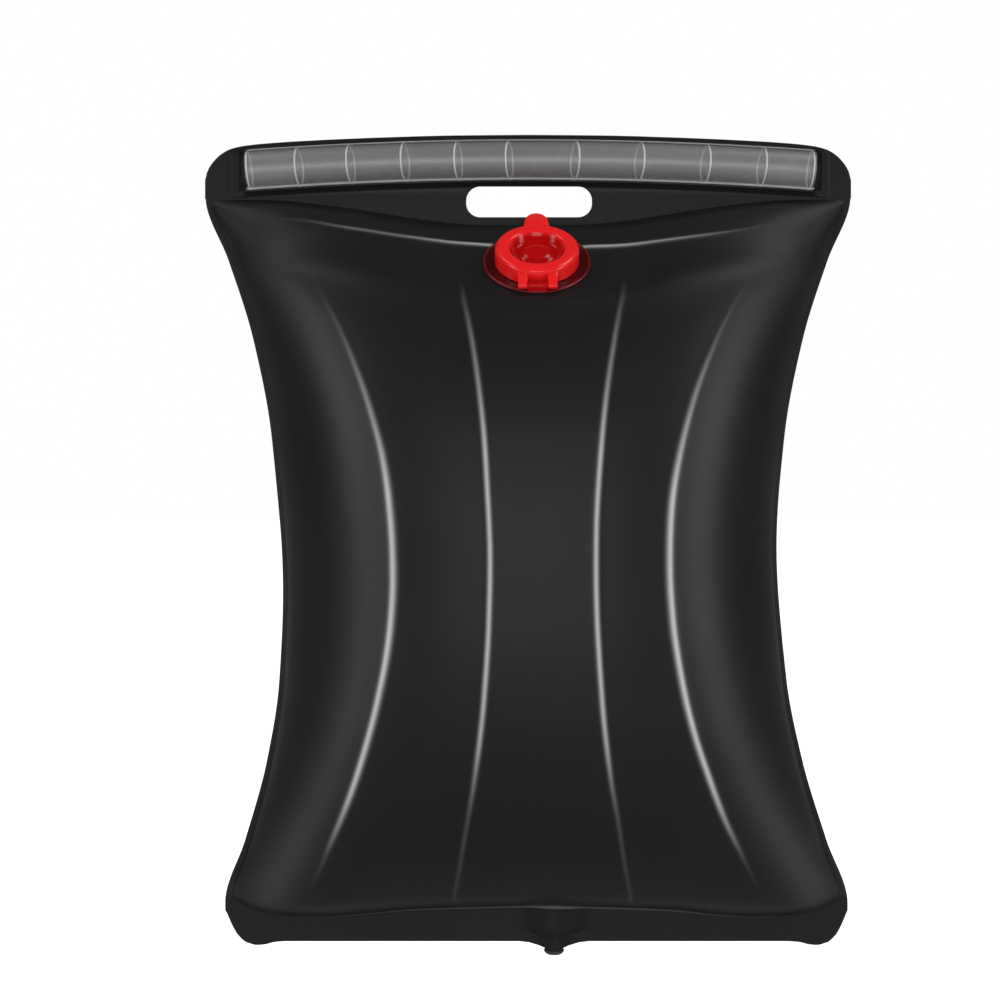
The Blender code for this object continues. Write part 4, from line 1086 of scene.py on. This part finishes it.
lid_profile = [
    (0.0, BUTTON_TOP, 0),
    (BUTTON_RADIUS - 0.0055, BUTTON_TOP - 0.0001, 0.003),
    (BUTTON_RADIUS - 0.0012, BUTTON_TOP - 0.0012, 0.003),
    (BUTTON_RADIUS + 0.0012, WELL_FLOOR + 0.0003, 0.002),
    (WELL_RADIUS - 0.0035, WELL_FLOOR + 0.0002, 0.002),
    (WELL_RADIUS - 0.0006, WELL_FLOOR + 0.003, 0.003),
    (WELL_RADIUS + 0.0012, CAP_TOP, 0.0026),
    (CAP_RADIUS - 0.0002, CAP_TOP, 0.0034),
    (CAP_RADIUS, SKIRT_BOTTOM, 0.0004),
    (SKIRT_INSIDE, SKIRT_BOTTOM, 0.0004),
    (SKIRT_INSIDE, PLATE_UNDERSIDE, 0.0004),
    (SNAP_RADIUS, PLATE_UNDERSIDE, 0.0004),
    (SNAP_RADIUS, SNAP_BOTTOM, 0.0003),
    (SNAP_INSIDE, SNAP_BOTTOM, 0.0004),
    (SNAP_INSIDE, PLATE_UNDERSIDE, 0.0003),
    (PLUG_RADIUS, PLATE_UNDERSIDE, 0.0004),
    (PLUG_RADIUS - 0.0009, 0.0091, 0.001),
    (PLUG_RADIUS - 0.0029, 0.0066, 0.001),
    (PLUG_RADIUS - 0.0044, PLUG_BOTTOM, 0.0006),
    (0.0, PLUG_BOTTOM, 0),
]
lid = solid_object("valve_lid", *on_filler(turned(rounded(lid_profile, steps=6))))
print("Points in the turned lid:", len(lid.data.vertices))

# %% [markdown]
# The tab is a rounded tongue level with the lid's top. The ears reach down to the pin from the skirt. They
# are cut away inside the skirt, so that nothing stands in the way of the neck when the lid closes. A mask
# marks the sunk well and the lug, whose red is darkened by painted shade and has no coat.

# %% Add the tab and the ears
TAB_HALF_WIDTH = 0.0079
TAB_FLARE = 0.0006
TAB_START = 0.0252
TAB_REACH = 0.0405
TAB_TOP = 0.0127
TAB_THICKNESS = 0.0019
TAB_ROOT = 0.0296
EAR_NEAR, EAR_FAR = 0.0066, 0.0126
EAR_ROOT = 0.0238
EAR_RADIUS = 0.0024
EAR_BOLT_ROOM = 0.0003
WELL_FADE = 0.0022

tab_side = TAB_HALF_WIDTH + TAB_FLARE
tab_outline = [(tab_side, -TAB_START), (-tab_side, -TAB_START)]
for x, y in arc(0, 0, 1, 180, 360, 28):
    tab_outline.append((x * TAB_HALF_WIDTH, -TAB_ROOT + y * (TAB_REACH - TAB_ROOT)))
tab_flat = [Vector((x, reach, 0)) for x, reach in tab_outline]
tab_shape = prism(tab_flat, Vector((0, 0, TAB_TOP - TAB_THICKNESS)), Vector((0, 0, TAB_TOP)))
tab = solid_object("lid_tab", *on_filler(tab_shape))
finish_edges(tab, 0.0006)

ear_outline = [(EAR_ROOT, 0.00235), (EAR_ROOT, 0.0102), (CAP_RADIUS, 0.0096)]
ear_outline += arc(HINGE_REACH, HINGE_HEIGHT, EAR_RADIUS, 70, -90, 24)
inside_skirt = [Vector((x, y, 0)) for x, y in circle(SKIRT_INSIDE + 0.0002, 96)]
skirt_room = on_filler(prism(inside_skirt, Vector((0, 0, 0)), Vector((0, 0, CAP_TOP))))
ears = []
for side in (-1, 1):
    near, far = Vector((side * EAR_NEAR, 0, 0)), Vector((side * EAR_FAR, 0, 0))
    ear_shape = prism([Vector((0, reach, up)) for reach, up in ear_outline], near, far)
    ear = solid_object("lid_ear", *on_filler(ear_shape))
    join_shape(ear, across_valve(hinge_circle(PIN_RADIUS + EAR_BOLT_ROOM, 32), 0.02), "DIFFERENCE")
    join_shape(ear, skirt_room, "DIFFERENCE")
    finish_edges(ear, 0.0007)
    ears.append(ear)
for piece in (tab, *ears):
    join_piece(lid, piece, "UNION")
smooth(lid, MOULDED_EDGE_DEG)


def in_well(from_axis, height):
    return smooth_step((WELL_RADIUS + 0.0012 - from_axis) / WELL_FADE) * (height > WELL_FLOOR - 0.0005)


# A mask of painted shade, for the sunk well and for the lug between the ears.
set_mask(lid.data, "deep", [in_well(*valve_place(vertex.co)) for vertex in lid.data.vertices])
set_mask(lug.data, "deep", np.ones(len(lug.data.vertices)))
print("Faces in the lid:", len(lid.data.polygons))

# %% [markdown]
# ## The outlet and its stopper
#
# At the bottom a short spout comes out of the hem, on a base shaped like a boat, so that both films can
# be welded along its sides. A grey rubber stopper closes it. Both are turned, and the boat is a prism.

# %% Build the outlet
SPOUT_BORE = 0.004
SPOUT_END = -0.5182
SPOUT_TOP = -0.4835
BOAT_TOP = -0.4895
STOPPER_HEAD_TOP = -0.5185
BORE_OVERRUN = 0.005
OUTLET_SIDES = 64

outlet_middle = Vector((OUTLET_X, 0, 0))


def at_outlet(shape):
    return [point + outlet_middle for point in shape[0]], shape[1]


def upright_prism(outline, low, high):
    outline = [outlet_middle + Vector((x, y, 0)) for x, y in outline]
    return prism(outline, Vector((0, 0, low)), Vector((0, 0, high)))


spout_profile = [
    (SPOUT_BORE, SPOUT_TOP, 0),
    (SPOUT_RADIUS, SPOUT_TOP, 0.0005),
    (SPOUT_RADIUS, SPOUT_END, 0.0006),
    (SPOUT_BORE, SPOUT_END, 0),
]
spout = solid_object("outlet_nozzle", *at_outlet(turned(rounded(spout_profile), OUTLET_SIDES)))
boat_shares = np.cos(np.linspace(0, math.pi / 2, 12))
boat_sides = [
    (BOAT_HALF_LENGTH * s, BOAT_HALF_THICKNESS * max(0.0, 1 - s * s) ** BOAT_POWER) for s in boat_shares
]
boat_half = boat_sides + [(-x, y) for x, y in boat_sides[-2::-1]]
boat_outline = boat_half + [(x, -y) for x, y in boat_half[-2:0:-1]]
join_shape(spout, upright_prism(boat_outline, BOAT_BOTTOM, BOAT_TOP), "UNION")
bore = upright_prism(circle(SPOUT_BORE, OUTLET_SIDES), SPOUT_END - BORE_OVERRUN, SPOUT_TOP + BORE_OVERRUN)
join_shape(spout, bore, "DIFFERENCE")
smooth(spout, MOULDED_EDGE_DEG)

stopper_profile = [
    (0.0, STOPPER_HEAD_TOP + 0.0125, 0),
    (0.0036, STOPPER_HEAD_TOP + 0.0125, 0.0004),
    (0.00385, STOPPER_HEAD_TOP + 0.0115, 0.0004),
    (0.00385, STOPPER_HEAD_TOP, 0),
    (0.0068, STOPPER_HEAD_TOP, 0.0004),
    (0.0068, STOPPER_HEAD_TOP - 0.0013, 0.0005),
    (0.0056, STOPPER_HEAD_TOP - 0.0024, 0.0005),
    (0.0050, STOPPER_HEAD_TOP - 0.003, 0.0005),
    (0.0, STOPPER_HEAD_TOP - 0.003, 0),
]
stopper = solid_object("rubber_stopper", *at_outlet(turned(rounded(stopper_profile), OUTLET_SIDES)))
smooth(stopper, SOFT_EDGE_DEG)
print("The stopper's head reaches down to mm:", round(1000 * (STOPPER_HEAD_TOP - 0.003), 1))

# %% [markdown]
# ## Who moves with whom
#
# Every piece rides on a body of the construction. Where a finer piece stands for a solid, that solid is
# hidden and stays for collision.

# %% Ride on the bodies
for piece, body, slot_name, nodes in (
    (front_film, "bag", "black_film", ["front_panel"]),
    (back_film, "bag", "black_film", ["back_panel"]),
    (strip, "bag", "clear_strip", ["sleeve_window"]),
    (tube, "bag", "smoke_tube", ["handle_tube"]),
    (flange, "bag", "red_plastic", []),
    (neck, "bag", "red_plastic", ["filler_base"]),
    (lug, "bag", "red_plastic", []),
    (lid, "cap", "red_plastic", ["filler_cap"]),
    (spout, "bag", "dark_plastic", ["outlet_spout"]),
    (stopper, "stopper", "grey_rubber", ["outlet_stopper"]),
):
    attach(piece, body)
    if nodes:
        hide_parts(*nodes)
    print(piece.name, "rides on the", body, "and stands for", nodes)

# %% [markdown]
# ## The sheets
#
# The two films and the strip are flat sheets that the water and the tube pull into shape.

# %% [markdown]
# ## Two effects that the finishes share
#
# Film, plastic and rubber all have a fine grain, and all of them are handled. Each effect is a node
# group with its own inputs, built once, so that every finish can ask for it in its own scale.

# %% Node groups for grain and handling
def new_group(name, inputs, outputs):
    """An empty node group with float inputs (name, value) and float outputs (name)."""
    group = bpy.data.node_groups.new(name, "ShaderNodeTree")
    for socket_name, value in inputs:
        socket = group.interface.new_socket(socket_name, in_out="INPUT", socket_type="NodeSocketFloat")
        socket.default_value = value
    for socket_name in outputs:
        group.interface.new_socket(socket_name, in_out="OUTPUT", socket_type="NodeSocketFloat")
    return group, group.nodes.new("NodeGroupInput"), group.nodes.new("NodeGroupOutput")


def math_node(tree, operation, first, second=None, clamp=False):
    node = tree.nodes.new("ShaderNodeMath")
    node.operation = operation
    node.use_clamp = clamp
    for socket, value in zip(node.inputs, (first, second)):
        if value is None:
            continue
        if isinstance(value, (int, float)):
            socket.default_value = value
        else:
            tree.links.new(value, socket)
    return node.outputs[0]


def times(tree, first, second, clamp=False):
    return math_node(tree, "MULTIPLY", first, second, clamp=clamp)


def noise_node(tree, place, scale, detail=2.0, roughness=0.5):
    node = tree.nodes.new("ShaderNodeTexNoise")
    node.inputs["Detail"].default_value = detail
    node.inputs["Roughness"].default_value = roughness
    tree.links.new(place, node.inputs["Vector"])
    if isinstance(scale, (int, float)):
        node.inputs["Scale"].default_value = scale
    else:
        tree.links.new(scale, node.inputs["Scale"])
    return node.outputs["Fac"]


def build_grain_group():
    """Pressed grain: small flat cells with a fine noise on top. Output: a height from 0 to 1."""
    inputs = [("Grains per metre", 1400.0), ("Fineness", 0.4)]
    group, given, made = new_group("Pressed grain", inputs, ["Height"])
    place = group.nodes.new("ShaderNodeTexCoord").outputs["Object"]
    cells = group.nodes.new("ShaderNodeTexVoronoi")
    cells.feature = "SMOOTH_F1"
    group.links.new(place, cells.inputs["Vector"])
    group.links.new(given.outputs["Grains per metre"], cells.inputs["Scale"])
    fine = noise_node(group, place, times(group, given.outputs["Grains per metre"], 2.3), 3.0)
    share = times(group, fine, given.outputs["Fineness"])
    group.links.new(math_node(group, "ADD", cells.outputs["Distance"], share), made.inputs["Height"])
    return group


def build_handling_group():
    """Handling: soft clouds of shine, and sparse short scuffs. Both run from 0 to 1."""
    inputs = [("Clouds per metre", 9.0), ("Scuffs per metre", 55.0)]
    group, given, made = new_group("Handling", inputs, ["Clouds", "Scuffs"])
    place = group.nodes.new("ShaderNodeTexCoord").outputs["Object"]
    clouds = noise_node(group, place, given.outputs["Clouds per metre"], 4.0, 0.55)
    group.links.new(clouds, made.inputs["Clouds"])
    stretch = group.nodes.new("ShaderNodeMapping")
    stretch.inputs["Scale"].default_value = (1.0, 1.0, 0.25)
    stretch.inputs["Rotation"].default_value = (0.3, 0.5, 0.7)
    group.links.new(place, stretch.inputs["Vector"])
    streaks = noise_node(group, stretch.outputs["Vector"], given.outputs["Scuffs per metre"], 6.0, 0.65)
    sparse = times(group, math_node(group, "SUBTRACT", streaks, 0.6, clamp=True), 5.0, clamp=True)
    group.links.new(sparse, made.inputs["Scuffs"])
    return group


grain_group = build_grain_group()
handling_group = build_handling_group()
print("Node groups:", [group.name for group in bpy.data.node_groups])

# %% [markdown]
# ## Finishes
#
# Each finish is a Principled shader whose colour, roughness and bump come from the two groups and from
# the masks on the meshes. The helpers below only save typing: they make a material with its shader, place
# a group, and mix two values or two colours by a mask.

# %% Helpers for the finishes


def new_finish(name):
    finish = bpy.data.materials.new(name)
    finish.use_nodes = True
    return finish, finish.node_tree, finish.node_tree.nodes["Principled BSDF"]


def set_inputs(tree, node, **inputs):
    """Sets or links inputs of a node, each named with underscores for its spaces."""
    for name, value in inputs.items():
        socket = node.inputs[name.replace("_", " ")]
        if isinstance(value, (int, float, tuple)):
            socket.default_value = value
        else:
            tree.links.new(value, socket)


def place_group(tree, group, **values):
    node = tree.nodes.new("ShaderNodeGroup")
    node.node_tree = group
    set_inputs(tree, node, **values)
    return node.outputs


def handled_finish(name, clouds, scuffs):
    """A new finish, and the two masks of its handling."""
    finish, tree, shader = new_finish(name)
    handling = place_group(tree, handling_group, Clouds_per_metre=clouds, Scuffs_per_metre=scuffs)
    return finish, tree, shader, handling["Clouds"], handling["Scuffs"]


def mask_node(tree, name):
    node = tree.nodes.new("ShaderNodeAttribute")
    node.attribute_name = name
    return node.outputs["Fac"]


def mix_colour(tree, mask, first, second):
    node = tree.nodes.new("ShaderNodeMix")
    node.data_type = "RGBA"
    colours = [(*colour, 1.0) if isinstance(colour, tuple) else colour for colour in (first, second)]
    set_inputs(tree, node, Factor=mask, A=colours[0], B=colours[1])
    return node.outputs["Result"]


def spread(tree, mask, low, high):
    """Moves a mask from 0..1 to low..high."""
    return math_node(tree, "ADD", times(tree, mask, high - low), low)


def plus_share(tree, value, mask, share, clamp=False):
    """Adds a share of a mask to a value."""
    return math_node(tree, "ADD", value, times(tree, mask, share), clamp=clamp)


def add_bump(tree, shader, height, distance, strength=1.0):
    bump = tree.nodes.new("ShaderNodeBump")
    set_inputs(tree, bump, Height=height, Distance=distance, Strength=strength)
    set_inputs(tree, shader, Normal=bump.outputs["Normal"])


def add_grain(tree, shader, grains, fineness, distance, strength):
    grain = place_group(tree, grain_group, Grains_per_metre=grains, Fineness=fineness)
    add_bump(tree, shader, grain["Height"], distance, strength)


print("Node groups ready for the finishes:", len(bpy.data.node_groups))

# %% [markdown]
# ### Black film
#
# Calendered PVC: nearly black, with a satin shine and a grain about half a millimetre wide. The folds are
# paler and slightly smoother where the film was bent: partly stress whitening, partly a painted highlight.
# A painted highlight runs along each side roll, with painted light just above the bottom weld, and painted
# shade darkens the film round the strip.

# %% Black film
black_film, tree, shader, clouds, scuffs = handled_finish("black_pvc_film", 11.0, 60.0)
fold, seam = mask_node(tree, "fold"), mask_node(tree, "seam")
film_black = mix_colour(tree, clouds, (0.008, 0.008, 0.0088), (0.0113, 0.0113, 0.0123))
scuffed = mix_colour(tree, times(tree, scuffs, 0.15), film_black, (0.03, 0.03, 0.031))
# Painted highlight along the side rolls, and painted light just above the bottom weld.
with_painted_light = mix_colour(tree, mask_node(tree, "painted_light"), scuffed, (0.036, 0.036, 0.0375))
# The folds are paler: partly stress whitening, partly a painted highlight along each fold.
broken = times(tree, fold, spread(tree, clouds, 0.9, 1.1), clamp=True)
whitened_and_highlighted = mix_colour(tree, broken, with_painted_light, (0.5, 0.5, 0.51))
# Painted shade round the strip, where the tube's shade falls; the same mask makes it more matt.
colour = mix_colour(tree, seam, whitened_and_highlighted, (0.0025, 0.0025, 0.0026))
roughness = plus_share(tree, spread(tree, clouds, 0.36, 0.44), fold, -0.1)
roughness = plus_share(tree, roughness, seam, 0.45)
set_inputs(tree, shader, Base_Color=colour, Roughness=roughness, Specular_IOR_Level=0.2)
add_grain(tree, shader, 1900.0, 0.5, 0.00006, 0.35)
print("Nodes in the finish", black_film.name + ":", len(tree.nodes))

# %% [markdown]
# ### See-through strip
#
# Clear soft PVC, a little milky. Most of it is open to what lies behind, which Alpha does here. The weld
# lines along the tube are nearly opaque, and their white is partly a painted highlight of the tube's rim.

# %% See-through strip
clear_film, tree, shader, clouds, scuffs = handled_finish("clear_pvc_strip", 30.0, 90.0)
weld_and_rim_highlight = mask_node(tree, "weld_and_rim_highlight")
# The milky lines: partly heat welds, partly a painted highlight of the tube's rim.
colour = mix_colour(tree, weld_and_rim_highlight, (0.42, 0.42, 0.43), (0.95, 0.95, 0.96))
haze = times(tree, spread(tree, clouds, 0.01, 0.03), mask_node(tree, "over_tube"))
alpha = plus_share(tree, haze, weld_and_rim_highlight, 0.9, clamp=True)
roughness = spread(tree, scuffs, 0.3, 0.42)
set_inputs(tree, shader, Base_Color=colour, Alpha=alpha, Roughness=roughness, Specular_IOR_Level=1.0)
waves = noise_node(tree, tree.nodes.new("ShaderNodeTexCoord").outputs["Object"], 60.0, 2.0)
add_bump(tree, shader, waves, 0.0004, 0.25)
print("Nodes in the finish", clear_film.name + ":", len(tree.nodes))

# %% [markdown]
# ### Smoke-grey tube
#
# A hard translucent tube. The rings are rubbed pale, and through the wall their far side shows faintly.

# %% Smoke-grey tube
smoke, tree, shader, clouds, scuffs = handled_finish("smoke_grey_tube", 24.0, 120.0)
ring = mask_node(tree, "ring")
smoke_grey = mix_colour(tree, clouds, (0.34, 0.34, 0.345), (0.4, 0.4, 0.405))
colour = mix_colour(tree, ring, smoke_grey, (0.95, 0.95, 0.96))
wall = spread(tree, mask_node(tree, "bore"), 0.36, 0.14)
alpha = plus_share(tree, wall, ring, 0.6, clamp=True)
roughness = spread(tree, scuffs, 0.42, 0.52)
set_inputs(tree, shader, Base_Color=colour, Alpha=alpha, Roughness=roughness, Specular_IOR_Level=1.0)
set_inputs(tree, shader, Coat_Weight=1.0, Coat_IOR=2.1, Coat_Roughness=0.38)
add_grain(tree, shader, 500.0, 0.6, 0.00002, 0.12)
print("Nodes in the finish", smoke.name + ":", len(tree.nodes))

# %% [markdown]
# ### Red plastic, solid and thin
#
# The lid and the neck are glossy soft plastic in a strong red. The flange is the same plastic, but thin,
# so the black film behind it makes it dark. Its rim bead is thicker and shows more of the red.

# %% Red plastic
solid_red, tree, shader, clouds, scuffs = handled_finish("glossy_red_plastic", 60.0, 260.0)
deep = mask_node(tree, "deep")
strong_red = mix_colour(tree, clouds, (0.7, 0.008, 0.010), (0.8, 0.012, 0.013))
worn_red = mix_colour(tree, times(tree, scuffs, 0.1), strong_red, (0.8, 0.1, 0.09))
# Painted shade: the sunk well and the lug are darkened to a deeper red.
colour = mix_colour(tree, deep, worn_red, (0.4, 0.002, 0.003))
roughness = plus_share(tree, spread(tree, scuffs, 0.24, 0.36), deep, -0.12)
coat = spread(tree, deep, 0.25, 0.0)
set_inputs(tree, shader, Base_Color=colour, Roughness=roughness, Specular_IOR_Level=0.22)
set_inputs(tree, shader, Coat_Weight=coat, Coat_Roughness=0.12)
add_grain(tree, shader, 2600.0, 0.8, 0.00003, 0.25)

thin_red, tree, shader, clouds, scuffs = handled_finish("thin_red_flange", 45.0, 200.0)
rim = mask_node(tree, "rim")
dark_red = mix_colour(tree, clouds, (0.045, 0.003, 0.004), (0.075, 0.004, 0.005))
colour = mix_colour(tree, rim, dark_red, (0.13, 0.006, 0.008))
roughness, alpha = spread(tree, scuffs, 0.16, 0.3), spread(tree, rim, 0.78, 0.98)
set_inputs(tree, shader, Base_Color=colour, Alpha=alpha, Roughness=roughness)
set_inputs(tree, shader, Coat_Weight=0.3, Coat_Roughness=0.1)
add_bump(tree, shader, clouds, 0.0002, 0.2)
print("Nodes in the finish", thin_red.name + ":", len(tree.nodes))

# %% [markdown]
# ### Outlet and stopper
#
# The spout is moulded in dark plastic. The stopper is plain grey rubber, matt and a little dusty.

# %% Dark plastic and grey rubber
dark, tree, shader, clouds, scuffs = handled_finish("dark_moulded_plastic", 80.0, 300.0)
colour = mix_colour(tree, clouds, (0.022, 0.021, 0.02), (0.04, 0.038, 0.036))
set_inputs(tree, shader, Base_Color=colour, Roughness=spread(tree, scuffs, 0.38, 0.55))
add_grain(tree, shader, 2200.0, 0.7, 0.00005, 0.4)

rubber, tree, shader, clouds, scuffs = handled_finish("grey_rubber", 120.0, 400.0)
colour = mix_colour(tree, clouds, (0.03, 0.028, 0.026), (0.046, 0.043, 0.04))
set_inputs(tree, shader, Base_Color=colour, Roughness=spread(tree, scuffs, 0.6, 0.75))
add_grain(tree, shader, 3000.0, 1.0, 0.00006, 0.5)

for piece, finish in (
    (front_film, black_film), (back_film, black_film), (strip, clear_film), (tube, smoke), (flange, thin_red),
    (neck, solid_red), (lug, solid_red), (lid, solid_red), (spout, dark), (stopper, rubber),
):
    piece.data.materials.clear()
    piece.data.materials.append(finish)
    print(piece.name, "is finished in", finish.name)

# %% [markdown]
# ## Floor, white surroundings and soft light
#
# The bag hangs in front of plain white. The white is only a colour that the camera sees, so it puts no
# light on the bag. The floor is pale and keeps a soft shadow. It glows for the camera, a little less
# under the bag, and is darker in the bag's gloss, so that the black film's lower rolls stay black.

# %% Floor
FLOOR_HEIGHT = -0.64
FLOOR_HALF_SIZE = 40.0
FLOOR_IN_GLOSS = 0.6
FLOOR_GLOW = 0.84
FLOOR_GLOW_DIP = 0.17
FLOOR_GLOW_REACH = 0.6
BACKDROP_IN_REFLECTIONS = 0.03


def seen_directly(tree, light_path):
    """1 for rays of the camera, and for those that come through a see-through wall."""
    return math_node(tree, "MAXIMUM", light_path["Is Camera Ray"], light_path["Is Transmission Ray"])


def split_axes(tree, place):
    node = tree.nodes.new("ShaderNodeSeparateXYZ")
    set_inputs(tree, node, Vector=place)
    return node.outputs


floor_signs = ((-1, -1), (1, -1), (1, 1), (-1, 1))
floor_corners = [(x * FLOOR_HALF_SIZE, y * FLOOR_HALF_SIZE, FLOOR_HEIGHT) for x, y in floor_signs]
floor_mesh = bpy.data.meshes.new("floor")
floor_mesh.from_pydata(floor_corners, [], [(0, 1, 2, 3)])
floor = place_mesh("floor", floor_mesh)
pale, tree, shader = new_finish("pale_floor")
place = tree.nodes.new("ShaderNodeTexCoord").outputs["Object"]
light_path = tree.nodes.new("ShaderNodeLightPath").outputs
floor_colour = mix_colour(tree, noise_node(tree, place, 0.8), (0.74, 0.74, 0.74), (0.78, 0.78, 0.78))
in_gloss = times(tree, light_path["Is Glossy Ray"], FLOOR_IN_GLOSS)
colour = mix_colour(tree, in_gloss, floor_colour, (0.1, 0.1, 0.1))
set_inputs(tree, shader, Base_Color=colour, Roughness=0.9, Specular_IOR_Level=0.1)
spot = split_axes(tree, place)
behind = math_node(tree, "SUBTRACT", spot["Y"], 1.0, clamp=True)
reflected = times(tree, light_path["Is Glossy Ray"], times(tree, behind, BACKDROP_IN_REFLECTIONS))
seen = math_node(tree, "MAXIMUM", seen_directly(tree, light_path), reflected)
squares = [times(tree, spot[axis], spot[axis]) for axis in ("X", "Y")]
far = times(tree, math_node(tree, "ADD", *squares), FLOOR_GLOW_REACH)
near_share = math_node(tree, "DIVIDE", 1.0, math_node(tree, "ADD", far, 1.0))
glow_strength = math_node(tree, "SUBTRACT", FLOOR_GLOW, times(tree, near_share, FLOOR_GLOW_DIP))
glow = tree.nodes.new("ShaderNodeEmission")
set_inputs(tree, glow, Color=(1, 1, 1, 1), Strength=times(tree, seen, glow_strength))
both = tree.nodes.new("ShaderNodeAddShader")
tree.links.new(shader.outputs[0], both.inputs[0])
tree.links.new(glow.outputs[0], both.inputs[1])
set_inputs(tree, tree.nodes["Material Output"], Surface=both.outputs[0])
floor_mesh.materials.append(pale)

# %% [markdown]
# The world is white for the camera. Diffuse rays see a dim sky, brighter above and behind, which fills the
# shadows and keeps the back from going black. Glossy rays see the white only straight behind the bag, and
# dimmed: at full strength it turned the black film's rolled edges pale grey.

# %% White surroundings
DIFFUSE_SKY = 0.2
DIFFUSE_SKY_TOP = 0.35
DIFFUSE_SKY_BACK = 0.6
GLOSSY_SKY = 0.01
BACKDROP_START = 0.95
world = bpy.data.worlds.new("white_studio")
bpy.context.scene.world = world
world.use_nodes = True
tree = world.node_tree
tree.nodes.clear()
light_path = tree.nodes.new("ShaderNodeLightPath").outputs
direction = split_axes(tree, tree.nodes.new("ShaderNodeTexCoord").outputs["Generated"])
upwards = math_node(tree, "MAXIMUM", direction["Z"], 0.0)
backwards = math_node(tree, "MAXIMUM", direction["Y"], 0.0)
sky = spread(tree, upwards, DIFFUSE_SKY, DIFFUSE_SKY + DIFFUSE_SKY_TOP)
sky = plus_share(tree, sky, backwards, DIFFUSE_SKY_BACK)
behind = math_node(tree, "SUBTRACT", direction["Y"], BACKDROP_START, clamp=True)
behind = times(tree, behind, 1 / (1 - BACKDROP_START), clamp=True)
backdrop = spread(tree, behind, GLOSSY_SKY, GLOSSY_SKY + BACKDROP_IN_REFLECTIONS)
reflected = times(tree, light_path["Is Glossy Ray"], backdrop)
lit = times(tree, light_path["Is Diffuse Ray"], sky)
strength = math_node(tree, "MAXIMUM", reflected, lit)
strength = math_node(tree, "MAXIMUM", seen_directly(tree, light_path), strength)
white = tree.nodes.new("ShaderNodeBackground")
set_inputs(tree, white, Color=(1, 1, 1, 1), Strength=strength)
set_inputs(tree, tree.nodes.new("ShaderNodeOutputWorld"), Surface=white.outputs[0])
print("The sky's strength for diffuse rays:", DIFFUSE_SKY, "plus", DIFFUSE_SKY_TOP, "above")

# %% [markdown]
# Two tall boxes stand beside the bag and a wide one in front of it. Two small ones hang above the shoulders
# and draw the line along the tube. Long lamps give long, soft-edged highlights, as in the photograph.

# %% Lamps
BAG_MIDDLE = Vector((0.0, 0.0, -0.24))
SOFT_BOXES = (
    ("left_box", (-1.6, -1.1, -0.1), (0.45, 2.2), 13),
    ("right_box", (1.6, -1.1, -0.1), (0.45, 2.4), 16),
    ("upper_left_box", (-0.95, -0.4, 1.4), (0.5, 0.9), 4),
    ("upper_right_box", (0.95, -0.4, 1.4), (0.5, 0.9), 6),
    ("front_box", (0.0, -2.7, -0.3), (1.5, 1.1), 19),
)
for name, spot, size, watts in SOFT_BOXES:
    lamp = bpy.data.lights.new(name, "AREA")
    lamp.shape = "RECTANGLE"
    lamp.size, lamp.size_y = size
    lamp.energy = watts
    soft_box = bpy.data.objects.new(name, lamp)
    soft_box.location = spot
    soft_box.rotation_mode = "QUATERNION"
    soft_box.rotation_quaternion = (BAG_MIDDLE - Vector(spot)).to_track_quat("-Z", "Y")
    bpy.context.scene.collection.objects.link(soft_box)
print("Soft boxes:", len(SOFT_BOXES), "with watts in all:", sum(row[3] for row in SOFT_BOXES))

# %% [markdown]
# ## Camera
#
# The photograph was taken straight from the front, level with the middle of the bag.

# %% Camera and picture settings
PHOTO_CENTRE = Vector((-0.01904, 0.0, -0.21318))
CAMERA_DISTANCE = 1.15
FIELD_WIDTH = 0.68
camera_data = bpy.data.cameras.new("camera")
camera_data.sensor_width = 36.0
camera_data.lens = 36.0 * CAMERA_DISTANCE / FIELD_WIDTH
camera = bpy.data.objects.new("camera", camera_data)
camera.location = PHOTO_CENTRE + Vector((0, -CAMERA_DISTANCE, 0))
camera.rotation_euler = (math.pi / 2, 0, 0)
bpy.context.scene.collection.objects.link(camera)
bpy.context.scene.camera = camera
bpy.context.scene.view_settings.view_transform = "Standard"
print("The camera looks over degrees:", round(math.degrees(camera_data.angle), 1))

# %% [markdown]
# ## Last update
#
# The scene is updated once more.

# %% Update the scene
bpy.context.view_layer.update()
